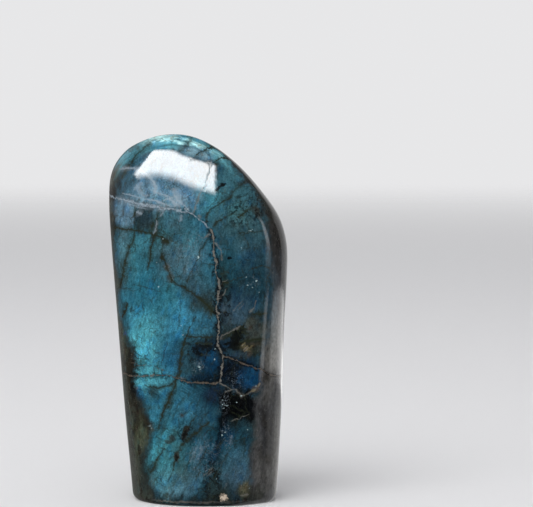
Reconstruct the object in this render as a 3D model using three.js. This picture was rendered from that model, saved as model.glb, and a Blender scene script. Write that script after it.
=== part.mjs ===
// A polished labradorite freeform: one stone, ground to a leaning column with a rounded
// crown, one slanting shoulder and a flat sawn foot that it stands on.
// Millimetres, +Z up, the broad show face towards -Y.
// The origin is on the surface it stands on, at the middle of the stone's own box.
import * as THREE from "three";

const { clamp, degToRad, lerp, smoothstep } = THREE.MathUtils;

// Overall height, and half of the thickness in the lower body
const HEIGHT = 110;
const HALF_DEPTH = 16.7;

// The outline as seen from the front, from the left of the foot over the crown, which is the
// highest point, and down the slanting shoulder to the right of the foot, [x, z]
const CROWN = [-7.8, HEIGHT];
const OUTLINE = [
  [-19.8, 0], [-21.8, 24], [-24.1, 54], [-26.1, 80], [-26.6, 90], [-26, 98.6], [-22.2, 104.6],
  [-14.8, 108.7], CROWN, [-1.2, 109.2], [6.5, 105.4], [13.4, 99.6], [19.8, 92.2], [24.7, 85],
  [26.9, 77], [26.9, 68], [26, 52], [25.4, 32], [24.4, 12], [23.6, 0],
];

// The upper body is a little thinner than the lower, and the thickness closes over the crown
// as an ellipse that starts at DOME_FROM. The back bulges less than the front.
const TAPER = { from: 25, to: 95, share: 0.93 };
const DOME_FROM = 81;
const BACK_DEPTH_SHARE = 0.95;

// How square each side of a level cut is: 2 is an ellipse, more is flatter with tighter corners
const SQUARENESS = {
  left: { foot: 2.1, body: 3.3 },
  right: { foot: 2.9, body: 2.9 },
};
const CROWN_SQUARENESS = 2;
const BODY_FROM = 35;
const ROUNDING_FROM = 84;

// Flats left by the grinding wheel: where each faces (degrees from the front towards the
// right), its lean upwards, its distance from the stone's middle, and how softly it blends
const MIDDLE = new THREE.Vector3(0.5, 0, 52);
const FLATS = [
  { faces: 34, lean: -4, distance: 23.5, blend: 0.8 },
  { faces: -50, lean: 3, distance: 25.6, blend: 0.9 },
  { faces: 0, lean: 30, distance: 40.5, blend: 1.6 },
  { faces: 142, lean: 4, distance: 23.4, blend: 1.6 },
  { faces: 217, lean: -3, distance: 22.6, blend: 1.8 },
  { faces: 176, lean: 16, distance: 26.5, blend: 2.2 },
];

// Slow swells that hand polishing leaves in the broad faces: height, length, and the
// directions they run in, [x, z]
const SWELL_HEIGHT = 0.2;
const SWELL_LENGTH = 38;
const SWELL_DIRECTIONS = [[1.1, 0.15], [0.7, -0.2]];

// Bevel round the foot
const FOOT_BEVEL = 0.9;

// Mesh: cells along one side of the foot, up the body, and the share of the climb they take.
// A crowding over 1 draws the rows towards the foot, so that the first one tops its bevel.
const CELLS_ACROSS = 20;
const CELLS_UP = 38;
const BODY_CLIMB = 0.88;
const ROW_CROWDING = 1.3;

// Colour and gloss of the flash on the show face
const FLASH_TEAL = new THREE.Color(0.09, 0.27, 0.34);
const POLISH_ROUGHNESS = 0.12;

// The outline as a smooth curve, measured so finely that the crown's place on it is exact
const MEASURING_STEPS = 60;
const outline = new THREE.CatmullRomCurve3(
  OUTLINE.map(([x, z]) => new THREE.Vector3(x, 0, z)), false, "centripetal");
outline.arcLengthDivisions = MEASURING_STEPS * (OUTLINE.length - 1);
const lengths = outline.getLengths();
const CROWN_SHARE = lengths[MEASURING_STEPS * OUTLINE.indexOf(CROWN)] / lengths.at(-1);

// Squareness of the cut at height z, for "left" or "right"
function squareness(side, z) {
  const { foot, body } = SQUARENESS[side];
  const lower = lerp(foot, body, smoothstep(z, 0, BODY_FROM));
  return lerp(lower, CROWN_SQUARENESS, smoothstep(z, ROUNDING_FROM, HEIGHT));
}

// Half of the thickness where the middle of a cut is at height z
function halfDepth(z) {
  const taper = lerp(1, TAPER.share, smoothstep(z, TAPER.from, TAPER.to));
  const rise = clamp((z - DOME_FROM) / (HEIGHT - DOME_FROM), 0, 1);
  return HALF_DEPTH * taper * Math.sqrt(1 - rise * rise);
}

// A point of the rounded lump: climb runs from 0 at the foot to 1 at the crown, and turn is the
// angle round the cut, 0 at the right side and a quarter turn at the back
function lumpPoint(climb, turn) {
  const left = outline.getPointAt(climb * CROWN_SHARE);
  const right = outline.getPointAt(1 - climb * (1 - CROWN_SHARE));
  const middle = left.clone().lerp(right, 0.5);
  const side = Math.cos(turn) < 0 ? "left" : "right";
  const power = 2 / squareness(side, middle.z);
  const along = Math.abs(Math.cos(turn)) ** power;
  const out = Math.abs(Math.sin(turn)) ** power;
  const depth = halfDepth(middle.z) * (Math.sin(turn) > 0 ? BACK_DEPTH_SHARE : -1);
  return middle.lerp(side === "left" ? left : right, along).setY(depth * out);
}

// Takes off what stands past a flat, with a soft shoulder round it. It thins the stone only,
// so the outline stays as it is.
function grind(point, { faces, lean, distance, blend }) {
  const [around, up] = [degToRad(faces), degToRad(lean)];
  const normal = new THREE.Vector3(
    Math.sin(around) * Math.cos(up), -Math.cos(around) * Math.cos(up), Math.sin(up));
  if (point.y * normal.y <= 0) return point;
  const past = point.clone().sub(MIDDLE).dot(normal) - distance;
  const cut = (past + Math.hypot(past, blend)) / 2 / Math.abs(normal.y);
  const depth = Math.abs(point.y);
  return point.setY(point.y * depth / (depth + cut));
}

// Adds the slow swells, which fade out at the foot and at the outline
function swell(point) {
  const turns = (2 * Math.PI) / SWELL_LENGTH;
  const waves = SWELL_DIRECTIONS.map(([x, z]) => Math.sin(turns * (x * point.x + z * point.z)));
  const share = (point.y / HALF_DEPTH) * smoothstep(point.z, 0, BODY_FROM);
  return point.setY(point.y + SWELL_HEIGHT * share * (waves[0] + waves[1]));
}

// A point of the finished stone
function stonePoint(climb, turn) {
  const point = swell(FLATS.reduce(grind, lumpPoint(climb, turn)));
  const inset = Math.max(0, FOOT_BEVEL - point.z) / Math.hypot(point.x, point.y);
  point.x *= 1 - inset;
  point.y *= 1 - inset;
  return point;
}

// Angle round the cut for a place on the square cross-section of the grid box
function turnAt(x, y) {
  const eighth = Math.PI / 4;
  if (Math.abs(x) >= Math.abs(y)) return (x < 0 ? Math.PI : 0) + eighth * (y / (x || 1));
  return Math.sign(y) * 2 * eighth - eighth * (x / y);
}

// A box whose grid is laid over the stone: its four sides climb the body, its top closes the
// crown, and its underside is the flat foot
function stoneGeometry() {
  const box = new THREE.BoxGeometry(2, 2, 2, CELLS_ACROSS, CELLS_ACROSS, CELLS_UP);
  const grid = box.getAttribute("position");
  const cell = new THREE.Vector3();
  for (let i = 0; i < grid.count; i++) {
    cell.fromBufferAttribute(grid, i);
    const ring = Math.max(Math.abs(cell.x), Math.abs(cell.y));
    const row = ((cell.z + 1) / 2) ** ROW_CROWDING;
    const climb = cell.z === 1 ? 1 - (1 - BODY_CLIMB) * ring : BODY_CLIMB * row;
    const point = stonePoint(climb, turnAt(cell.x, cell.y));
    if (cell.z === -1) point.multiplyScalar(ring).setZ(0);
    grid.setXYZ(i, point.x, point.y, point.z);
  }
  box.deleteAttribute("uv");
  box.computeVertexNormals();
  box.computeBoundingBox();
  const { min, max } = box.boundingBox;
  return box.translate(-(min.x + max.x) / 2, -(min.y + max.y) / 2, 0);
}

const polishedStone = new THREE.MeshStandardMaterial({
  color: FLASH_TEAL,
  roughness: POLISH_ROUGHNESS,
  metalness: 0,
});

const stone = new THREE.Mesh(stoneGeometry(), polishedStone);
stone.name = "labradorite_stone";

const part = new THREE.Group();
part.add(stone);

export default part;
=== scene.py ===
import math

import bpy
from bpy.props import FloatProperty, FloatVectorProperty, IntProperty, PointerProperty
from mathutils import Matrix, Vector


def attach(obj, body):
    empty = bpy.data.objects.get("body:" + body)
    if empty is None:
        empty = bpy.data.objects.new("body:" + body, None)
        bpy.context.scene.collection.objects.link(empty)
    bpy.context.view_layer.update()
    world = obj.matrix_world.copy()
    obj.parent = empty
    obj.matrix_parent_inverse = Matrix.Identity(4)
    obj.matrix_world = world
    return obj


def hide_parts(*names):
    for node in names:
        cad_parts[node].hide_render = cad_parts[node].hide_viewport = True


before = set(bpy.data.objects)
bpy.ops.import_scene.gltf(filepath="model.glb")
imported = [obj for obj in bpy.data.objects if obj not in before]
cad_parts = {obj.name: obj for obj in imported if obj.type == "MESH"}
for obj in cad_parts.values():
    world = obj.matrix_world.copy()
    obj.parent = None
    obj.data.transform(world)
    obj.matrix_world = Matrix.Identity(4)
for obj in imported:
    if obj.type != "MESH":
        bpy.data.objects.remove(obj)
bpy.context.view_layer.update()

# A polished labradorite freeform on a pale table. The stone's fine surface is made from its
# CAD solid, and its flash, healed fractures, cleavage lines and inclusions are painted with
# nodes that work in millimetres of the stone's own frame: x to the right, z up, y to the back.
# Some of the paint is painted light: sheen on the crown, glints, a reflection on the right flank,
# and shade at the foot and along the crown's edge.

bl_info = {
    "name": "Polished labradorite",
    "version": (1, 0, 0),
    "blender": (4, 5, 0),
    "location": "3D View > Sidebar > Labradorite",
    "description": "Models a polished labradorite freeform and the pale table it stands on",
    "category": "Object",
}

STONE_NODE = "labradorite_stone"
PIECE = "labradorite_polished"
PHOTO_WIDTH_PX = 533
METRE_IN_MM = 1000.0


# Settings that a user would change

class StoneSettings(bpy.types.PropertyGroup):
    """Sizes of the stone's fine surface."""
    merge_distance: FloatProperty(
        name="Merge distance", description="Corners of the CAD solid closer than this are one",
        default=0.00001, unit="LENGTH")
    smoothing_levels: IntProperty(
        name="Smoothing levels", description="How often each cell of the surface is divided",
        default=2, min=1, max=3)
    foot_crease: FloatProperty(
        name="Foot crease", description="How crisp the sawn edge of the foot stays",
        default=0.85, min=0, max=1, subtype="FACTOR")


def colour(name, description, default):
    return FloatVectorProperty(
        name=name, description=description, default=default, size=3, subtype="COLOR",
        min=0, max=1)


class FlashSettings(bpy.types.PropertyGroup):
    """Colours of the labradorite."""
    body: colour("Body", "Feldspar where nothing flashes", (0.018, 0.032, 0.033))
    rind: colour("Rind", "Olive grey feldspar of the left side", (0.048, 0.056, 0.044))
    grey_olive: colour("Grey olive", "Dull feldspar beside the black flakes", (0.046, 0.056, 0.052))
    olive_rind: colour("Olive rind", "Greener parts of the left side", (0.075, 0.090, 0.055))
    flank: colour("Flank", "Grey feldspar of the right side", (0.051, 0.054, 0.060))
    olive: colour("Olive", "Cleavage lines", (0.021, 0.026, 0.015))
    umber: colour("Umber", "Dark brown stain along cracks", (0.018, 0.015, 0.010))
    night: colour("Night", "Black mineral grains and open depths", (0.003, 0.004, 0.005))
    navy: colour("Navy", "Dull blue depths", (0.008, 0.025, 0.046))
    blue: colour("Blue", "Deep blue flash", (0.008, 0.070, 0.150))
    azure: colour("Azure", "The one azure grain", (0.030, 0.220, 0.640))
    violet: colour("Violet", "Violet shade beside the black hollow", (0.018, 0.026, 0.060))
    deep: colour("Deep teal", "Quiet flash of the right half", (0.023, 0.063, 0.088))
    dim: colour("Dim teal", "Flash on the wane", (0.023, 0.092, 0.132))
    teal: colour("Teal", "Flash of most of the show face", (0.028, 0.138, 0.195))
    bright: colour("Bright teal", "Strong flash", (0.034, 0.185, 0.270))
    core: colour("Flash core", "Strongest flash", (0.072, 0.300, 0.370))
    slate: colour("Slate", "Greyed flash", (0.056, 0.135, 0.185))
    haze: colour("Haze", "Milky flash of the head", (0.110, 0.215, 0.300))
    lilac: colour("Lilac", "Greyed flash near the foot", (0.036, 0.068, 0.096))
    lavender: colour("Lavender", "Pale grains over the flash", (0.070, 0.125, 0.165))
    milk: colour("Milk", "Milky veils and specks", (0.330, 0.410, 0.475))
    # painted glints: pale specks where grains catch the light
    spark: colour("Spark", "Grains that catch the light", (0.480, 0.640, 0.660))
    # painted sheen: the crown's flash brightened near white along the rim
    crown: colour("Crown", "Bright streaks along the crown", (0.550, 0.980, 1.000))
    belt: colour("Crown belt", "Flash between the streaks of the crown", (0.105, 0.330, 0.395))
    # also laid as a painted highlight along the foot's bevel, and as painted reflection on the
    # right flank
    healed: colour("Healed fracture", "Grey filling of the fractures", (0.180, 0.175, 0.155))
    tan: colour("Tan filling", "Stained filling of the fractures", (0.150, 0.118, 0.090))
    dark_filling: colour("Dark filling", "Dark grains in the fractures", (0.035, 0.034, 0.028))
    rust: colour("Rust", "Iron stain beside fractures", (0.075, 0.055, 0.035))
    ochre: colour("Ochre", "Sunlit grains of mica", (0.190, 0.160, 0.080))
    chip: colour("Chip", "Bare matrix at the foot", (0.640, 0.540, 0.420))


class StageSettings(bpy.types.PropertyGroup):
    """Camera, table and lights."""
    camera_distance: FloatProperty(
        name="Camera distance", description="From the camera to the stone's middle plane",
        default=0.6, unit="LENGTH")
    camera_side: FloatProperty(
        name="Camera side", description="How far right of the stone's middle the camera is",
        default=0.02045, unit="LENGTH")
    camera_height: FloatProperty(
        name="Camera height", description="Height of the camera above the table",
        default=0.11085, unit="LENGTH")
    camera_pitch: FloatProperty(
        name="Camera pitch", description="How far down the camera looks",
        default=0.0612, unit="ROTATION")
    focal_px: FloatProperty(
        name="Focal length in pixels", description="Focal length for a picture 533 pixels wide",
        default=1994.0)
    table_radius: FloatProperty(
        name="Table radius", description="Radius of the round pale table",
        default=4.0, unit="LENGTH")
    table_colour: colour("Table", "Matt pale surface", (0.80, 0.80, 0.81))
    room_colour: colour("Room", "Pale room behind the table", (0.80, 0.80, 0.81))


# Small helpers

def deselect_all():
    bpy.ops.object.select_all(action="DESELECT")


def as_piece(name):
    """Names the active object and its mesh, and gives it back."""
    piece = bpy.context.object
    piece.name = name
    piece.data.name = name
    return piece


def axes(lean):
    """The level and the upright axis of the show face, both leaning to the right."""
    lean = math.radians(lean)
    return (math.cos(lean), 0, -math.sin(lean)), (math.sin(lean), 0, math.cos(lean))


class Pattern:
    """Adds nodes to a node tree and joins them, so that a pattern reads as a formula."""

    def __init__(self, tree):
        self.tree = tree

    def add(self, kind, inputs=None, output=0, **settings):
        node = self.tree.nodes.new(kind)
        for name, value in settings.items():
            setattr(node, name, value)
        for key, value in (inputs or {}).items():
            self.feed(node.inputs[key], value)
        return node.outputs[output]

    def feed(self, socket, value):
        if isinstance(value, bpy.types.NodeSocket):
            self.tree.links.new(value, socket)
        else:
            socket.default_value = value

    def math(self, operation, first, second=0.0, third=0.0):
        inputs = {0: first, 1: second, 2: third}
        return self.add("ShaderNodeMath", inputs, operation=operation)

    def plus(self, first, second):
        return self.math("ADD", first, second)

    def minus(self, first, second):
        return self.math("SUBTRACT", first, second)

    def times(self, first, second):
        return self.math("MULTIPLY", first, second)

    def vector(self, operation, first, second=(0, 0, 0), scale=None):
        inputs = {0: first, 1: second}
        if scale is not None:
            inputs["Scale"] = scale
        output = "Value" if operation in ("LENGTH", "DOT_PRODUCT", "DISTANCE") else 0
        return self.add("ShaderNodeVectorMath", inputs, output, operation=operation)

    def dot(self, first, second):
        return self.vector("DOT_PRODUCT", first, second)

    def flat(self, place):
        """The place as seen from the front, without its depth."""
        return self.vector("MULTIPLY", place, (1, 0, 1))

    def remap(self, value, low, high, start=0.0, end=1.0, smooth=True):
        kind = "SMOOTHSTEP" if smooth else "LINEAR"
        inputs = {"Value": value, "From Min": low, "From Max": high, "To Min": start, "To Max": end}
        return self.add("ShaderNodeMapRange", inputs, interpolation_type=kind, clamp=not smooth)

    def blend(self, share, under, over):
        inputs = {0: share, 6: under, 7: over}
        return self.add("ShaderNodeMix", inputs, 2, data_type="RGBA")

    def mix(self, share, under, over):
        return self.add("ShaderNodeMix", {0: share, 4: under, 5: over}, 1, data_type="VECTOR")

    def group(self, group, values):
        node = self.tree.nodes.new("ShaderNodeGroup")
        node.node_tree = group
        for socket, value in zip(node.inputs, values):
            self.feed(socket, value)
        return node.outputs[0]

    def split(self, vector):
        return [self.dot(vector, axis) for axis in ((1, 0, 0), (0, 1, 0), (0, 0, 1))]

    def join(self, x, y, z):
        return self.add("ShaderNodeCombineXYZ", {0: x, 1: y, 2: z})

    def fibres(self, place, lean, stretch=(1, 1, 1)):
        """The place set along fibres that lean to the right by so many degrees, then stretched."""
        across, up = axes(lean)
        return self.join(
            self.dot(place, [part * stretch[0] for part in across]),
            self.dot(place, (0, stretch[1], 0)),
            self.dot(place, [part * stretch[2] for part in up]))

    def noise(self, place, scale, detail=3.0, roughness=0.5, output=0):
        """Noise from 0 to 1 with its features 1 / scale millimetres apart."""
        inputs = {"Vector": place, "Scale": scale, "Detail": detail, "Roughness": roughness}
        return self.add("ShaderNodeTexNoise", inputs, output)

    def spread(self, noise, low, high):
        """Noise, most of which lies between 0.3 and 0.7, spread to swing between two levels."""
        return self.remap(noise, 0.3, 0.7, low, high, smooth=False)

    def curve(self, value, points):
        """The height over value of a line drawn through points from left to right."""
        first, last = points[0][0], points[-1][0]
        heights = [height for _, height in points]
        low, high = min(heights), max(heights)
        scale = 1 / (last - first)
        along = self.math("MULTIPLY_ADD", value, scale, -first * scale)
        node = self.tree.nodes.new("ShaderNodeFloatCurve")
        line = node.mapping.curves[0]
        line.points[0].location = (0, (points[0][1] - low) / (high - low))
        line.points[1].location = (1, (points[-1][1] - low) / (high - low))
        for place, height in points[1:-1]:
            line.points.new((place - first) * scale, (height - low) / (high - low))
        for point in line.points:
            point.handle_type = "VECTOR"
        node.mapping.extend = "HORIZONTAL"
        node.mapping.update()
        self.feed(node.inputs["Value"], along)
        return self.math("MULTIPLY_ADD", node.outputs[0], high - low, low)


def new_material(name, values):
    """A new material, the pattern of its nodes, and its shader set to the values."""
    material = bpy.data.materials.new(name)
    material.use_nodes = True
    shader = material.node_tree.nodes["Principled BSDF"]
    for socket, value in values.items():
        shader.inputs[socket].default_value = value
    return material, Pattern(material.node_tree), shader


def give_surface(pattern, shader):
    pattern.feed(pattern.tree.nodes["Material Output"].inputs["Surface"], shader)


# Marks on the stone: a soft patch and a tapering line, each a node group

def group_with(name, inputs, output, output_kind="NodeSocketFloat"):
    group = bpy.data.node_groups.new(name, "ShaderNodeTree")
    for label, kind in inputs:
        group.interface.new_socket(label, in_out="INPUT", socket_type=kind)
    group.interface.new_socket(output, in_out="OUTPUT", socket_type=output_kind)
    source = group.nodes.new("NodeGroupInput")
    sink = group.nodes.new("NodeGroupOutput")
    return group, Pattern(group), source.outputs, sink.inputs[0]


def patch_group():
    """1 inside an ellipse, 0 outside, with an edge as wide as Edge. Across and Up lie along its
    axes, and are 1 / the half sizes long."""
    inputs = (("Place", "NodeSocketVector"), ("Centre", "NodeSocketVector"),
              ("Across", "NodeSocketVector"), ("Up", "NodeSocketVector"),
              ("Edge", "NodeSocketFloat"))
    group, pattern, given, result = group_with("Soft patch", inputs, "Mask")
    offset = pattern.vector("SUBTRACT", given["Place"], given["Centre"])
    across = pattern.dot(offset, given["Across"])
    up = pattern.dot(offset, given["Up"])
    squares = pattern.math("MULTIPLY_ADD", across, across, pattern.times(up, up))
    reach = pattern.math("SQRT", squares)
    inner = pattern.minus(1.0, given["Edge"])
    outer = pattern.plus(1.0, given["Edge"])
    pattern.feed(result, pattern.remap(reach, outer, inner))
    return group


def line_group():
    """1 along a bowed line from From to To that thins to nothing at both ends. Fray is noise
    that gnaws at its edges."""
    inputs = (("Place", "NodeSocketVector"), ("From", "NodeSocketVector"),
              ("To", "NodeSocketVector"), ("Bow", "NodeSocketFloat"),
              ("Width", "NodeSocketFloat"), ("Fray", "NodeSocketFloat"))
    group, pattern, given, result = group_with("Tapering line", inputs, "Mask")
    along = pattern.vector("SUBTRACT", given["To"], given["From"])
    offset = pattern.vector("SUBTRACT", given["Place"], given["From"])
    length = pattern.vector("LENGTH", along)
    share = pattern.math(
        "DIVIDE", pattern.dot(offset, along), pattern.math("POWER", length, 2.0))
    arch = pattern.times(pattern.times(share, 4.0), pattern.minus(1.0, share))
    arch = pattern.math("MAXIMUM", arch, 0.0)
    across = pattern.vector("CROSS_PRODUCT", offset, along)
    aside = pattern.math("DIVIDE", pattern.dot(across, (0, 1, 0)), length)
    aside = pattern.minus(aside, pattern.times(given["Bow"], arch))
    half = pattern.times(pattern.math("POWER", arch, 0.4), pattern.times(given["Width"], 0.5))
    half = pattern.math("MAXIMUM", half, 0.001)
    near = pattern.math("DIVIDE", pattern.math("ABSOLUTE", aside), half)
    near = pattern.plus(near, given["Fray"])
    core = pattern.remap(near, 1.3, 0.4)
    border = pattern.remap(near, 3.4, 0.8, 0.0, 0.3)
    pattern.feed(result, pattern.math("MAXIMUM", core, border))
    return group


def mark_groups():
    return {"patch": patch_group(), "line": line_group()}


class Marks:
    """Places patches and lines, given in millimetres of the show face, x to the right, z up."""

    def __init__(self, pattern, groups):
        self.pattern = pattern
        self.groups = groups

    def inside(self, pattern):
        return Marks(pattern, self.groups)

    def patch(self, place, x, z, half_width, half_height, edge=0.6, lean=0):
        across, up = axes(lean)
        across = [part / half_width for part in across]
        up = [part / half_height for part in up]
        return self.pattern.group(self.groups["patch"], (place, (x, 0, z), across, up, edge))

    def line(self, ground, from_x, from_z, to_x, to_z, width, bow=0.1):
        values = (ground.uneven, (from_x, 0, from_z), (to_x, 0, to_z), bow, width, ground.fray)
        return self.pattern.group(self.groups["line"], values)


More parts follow.
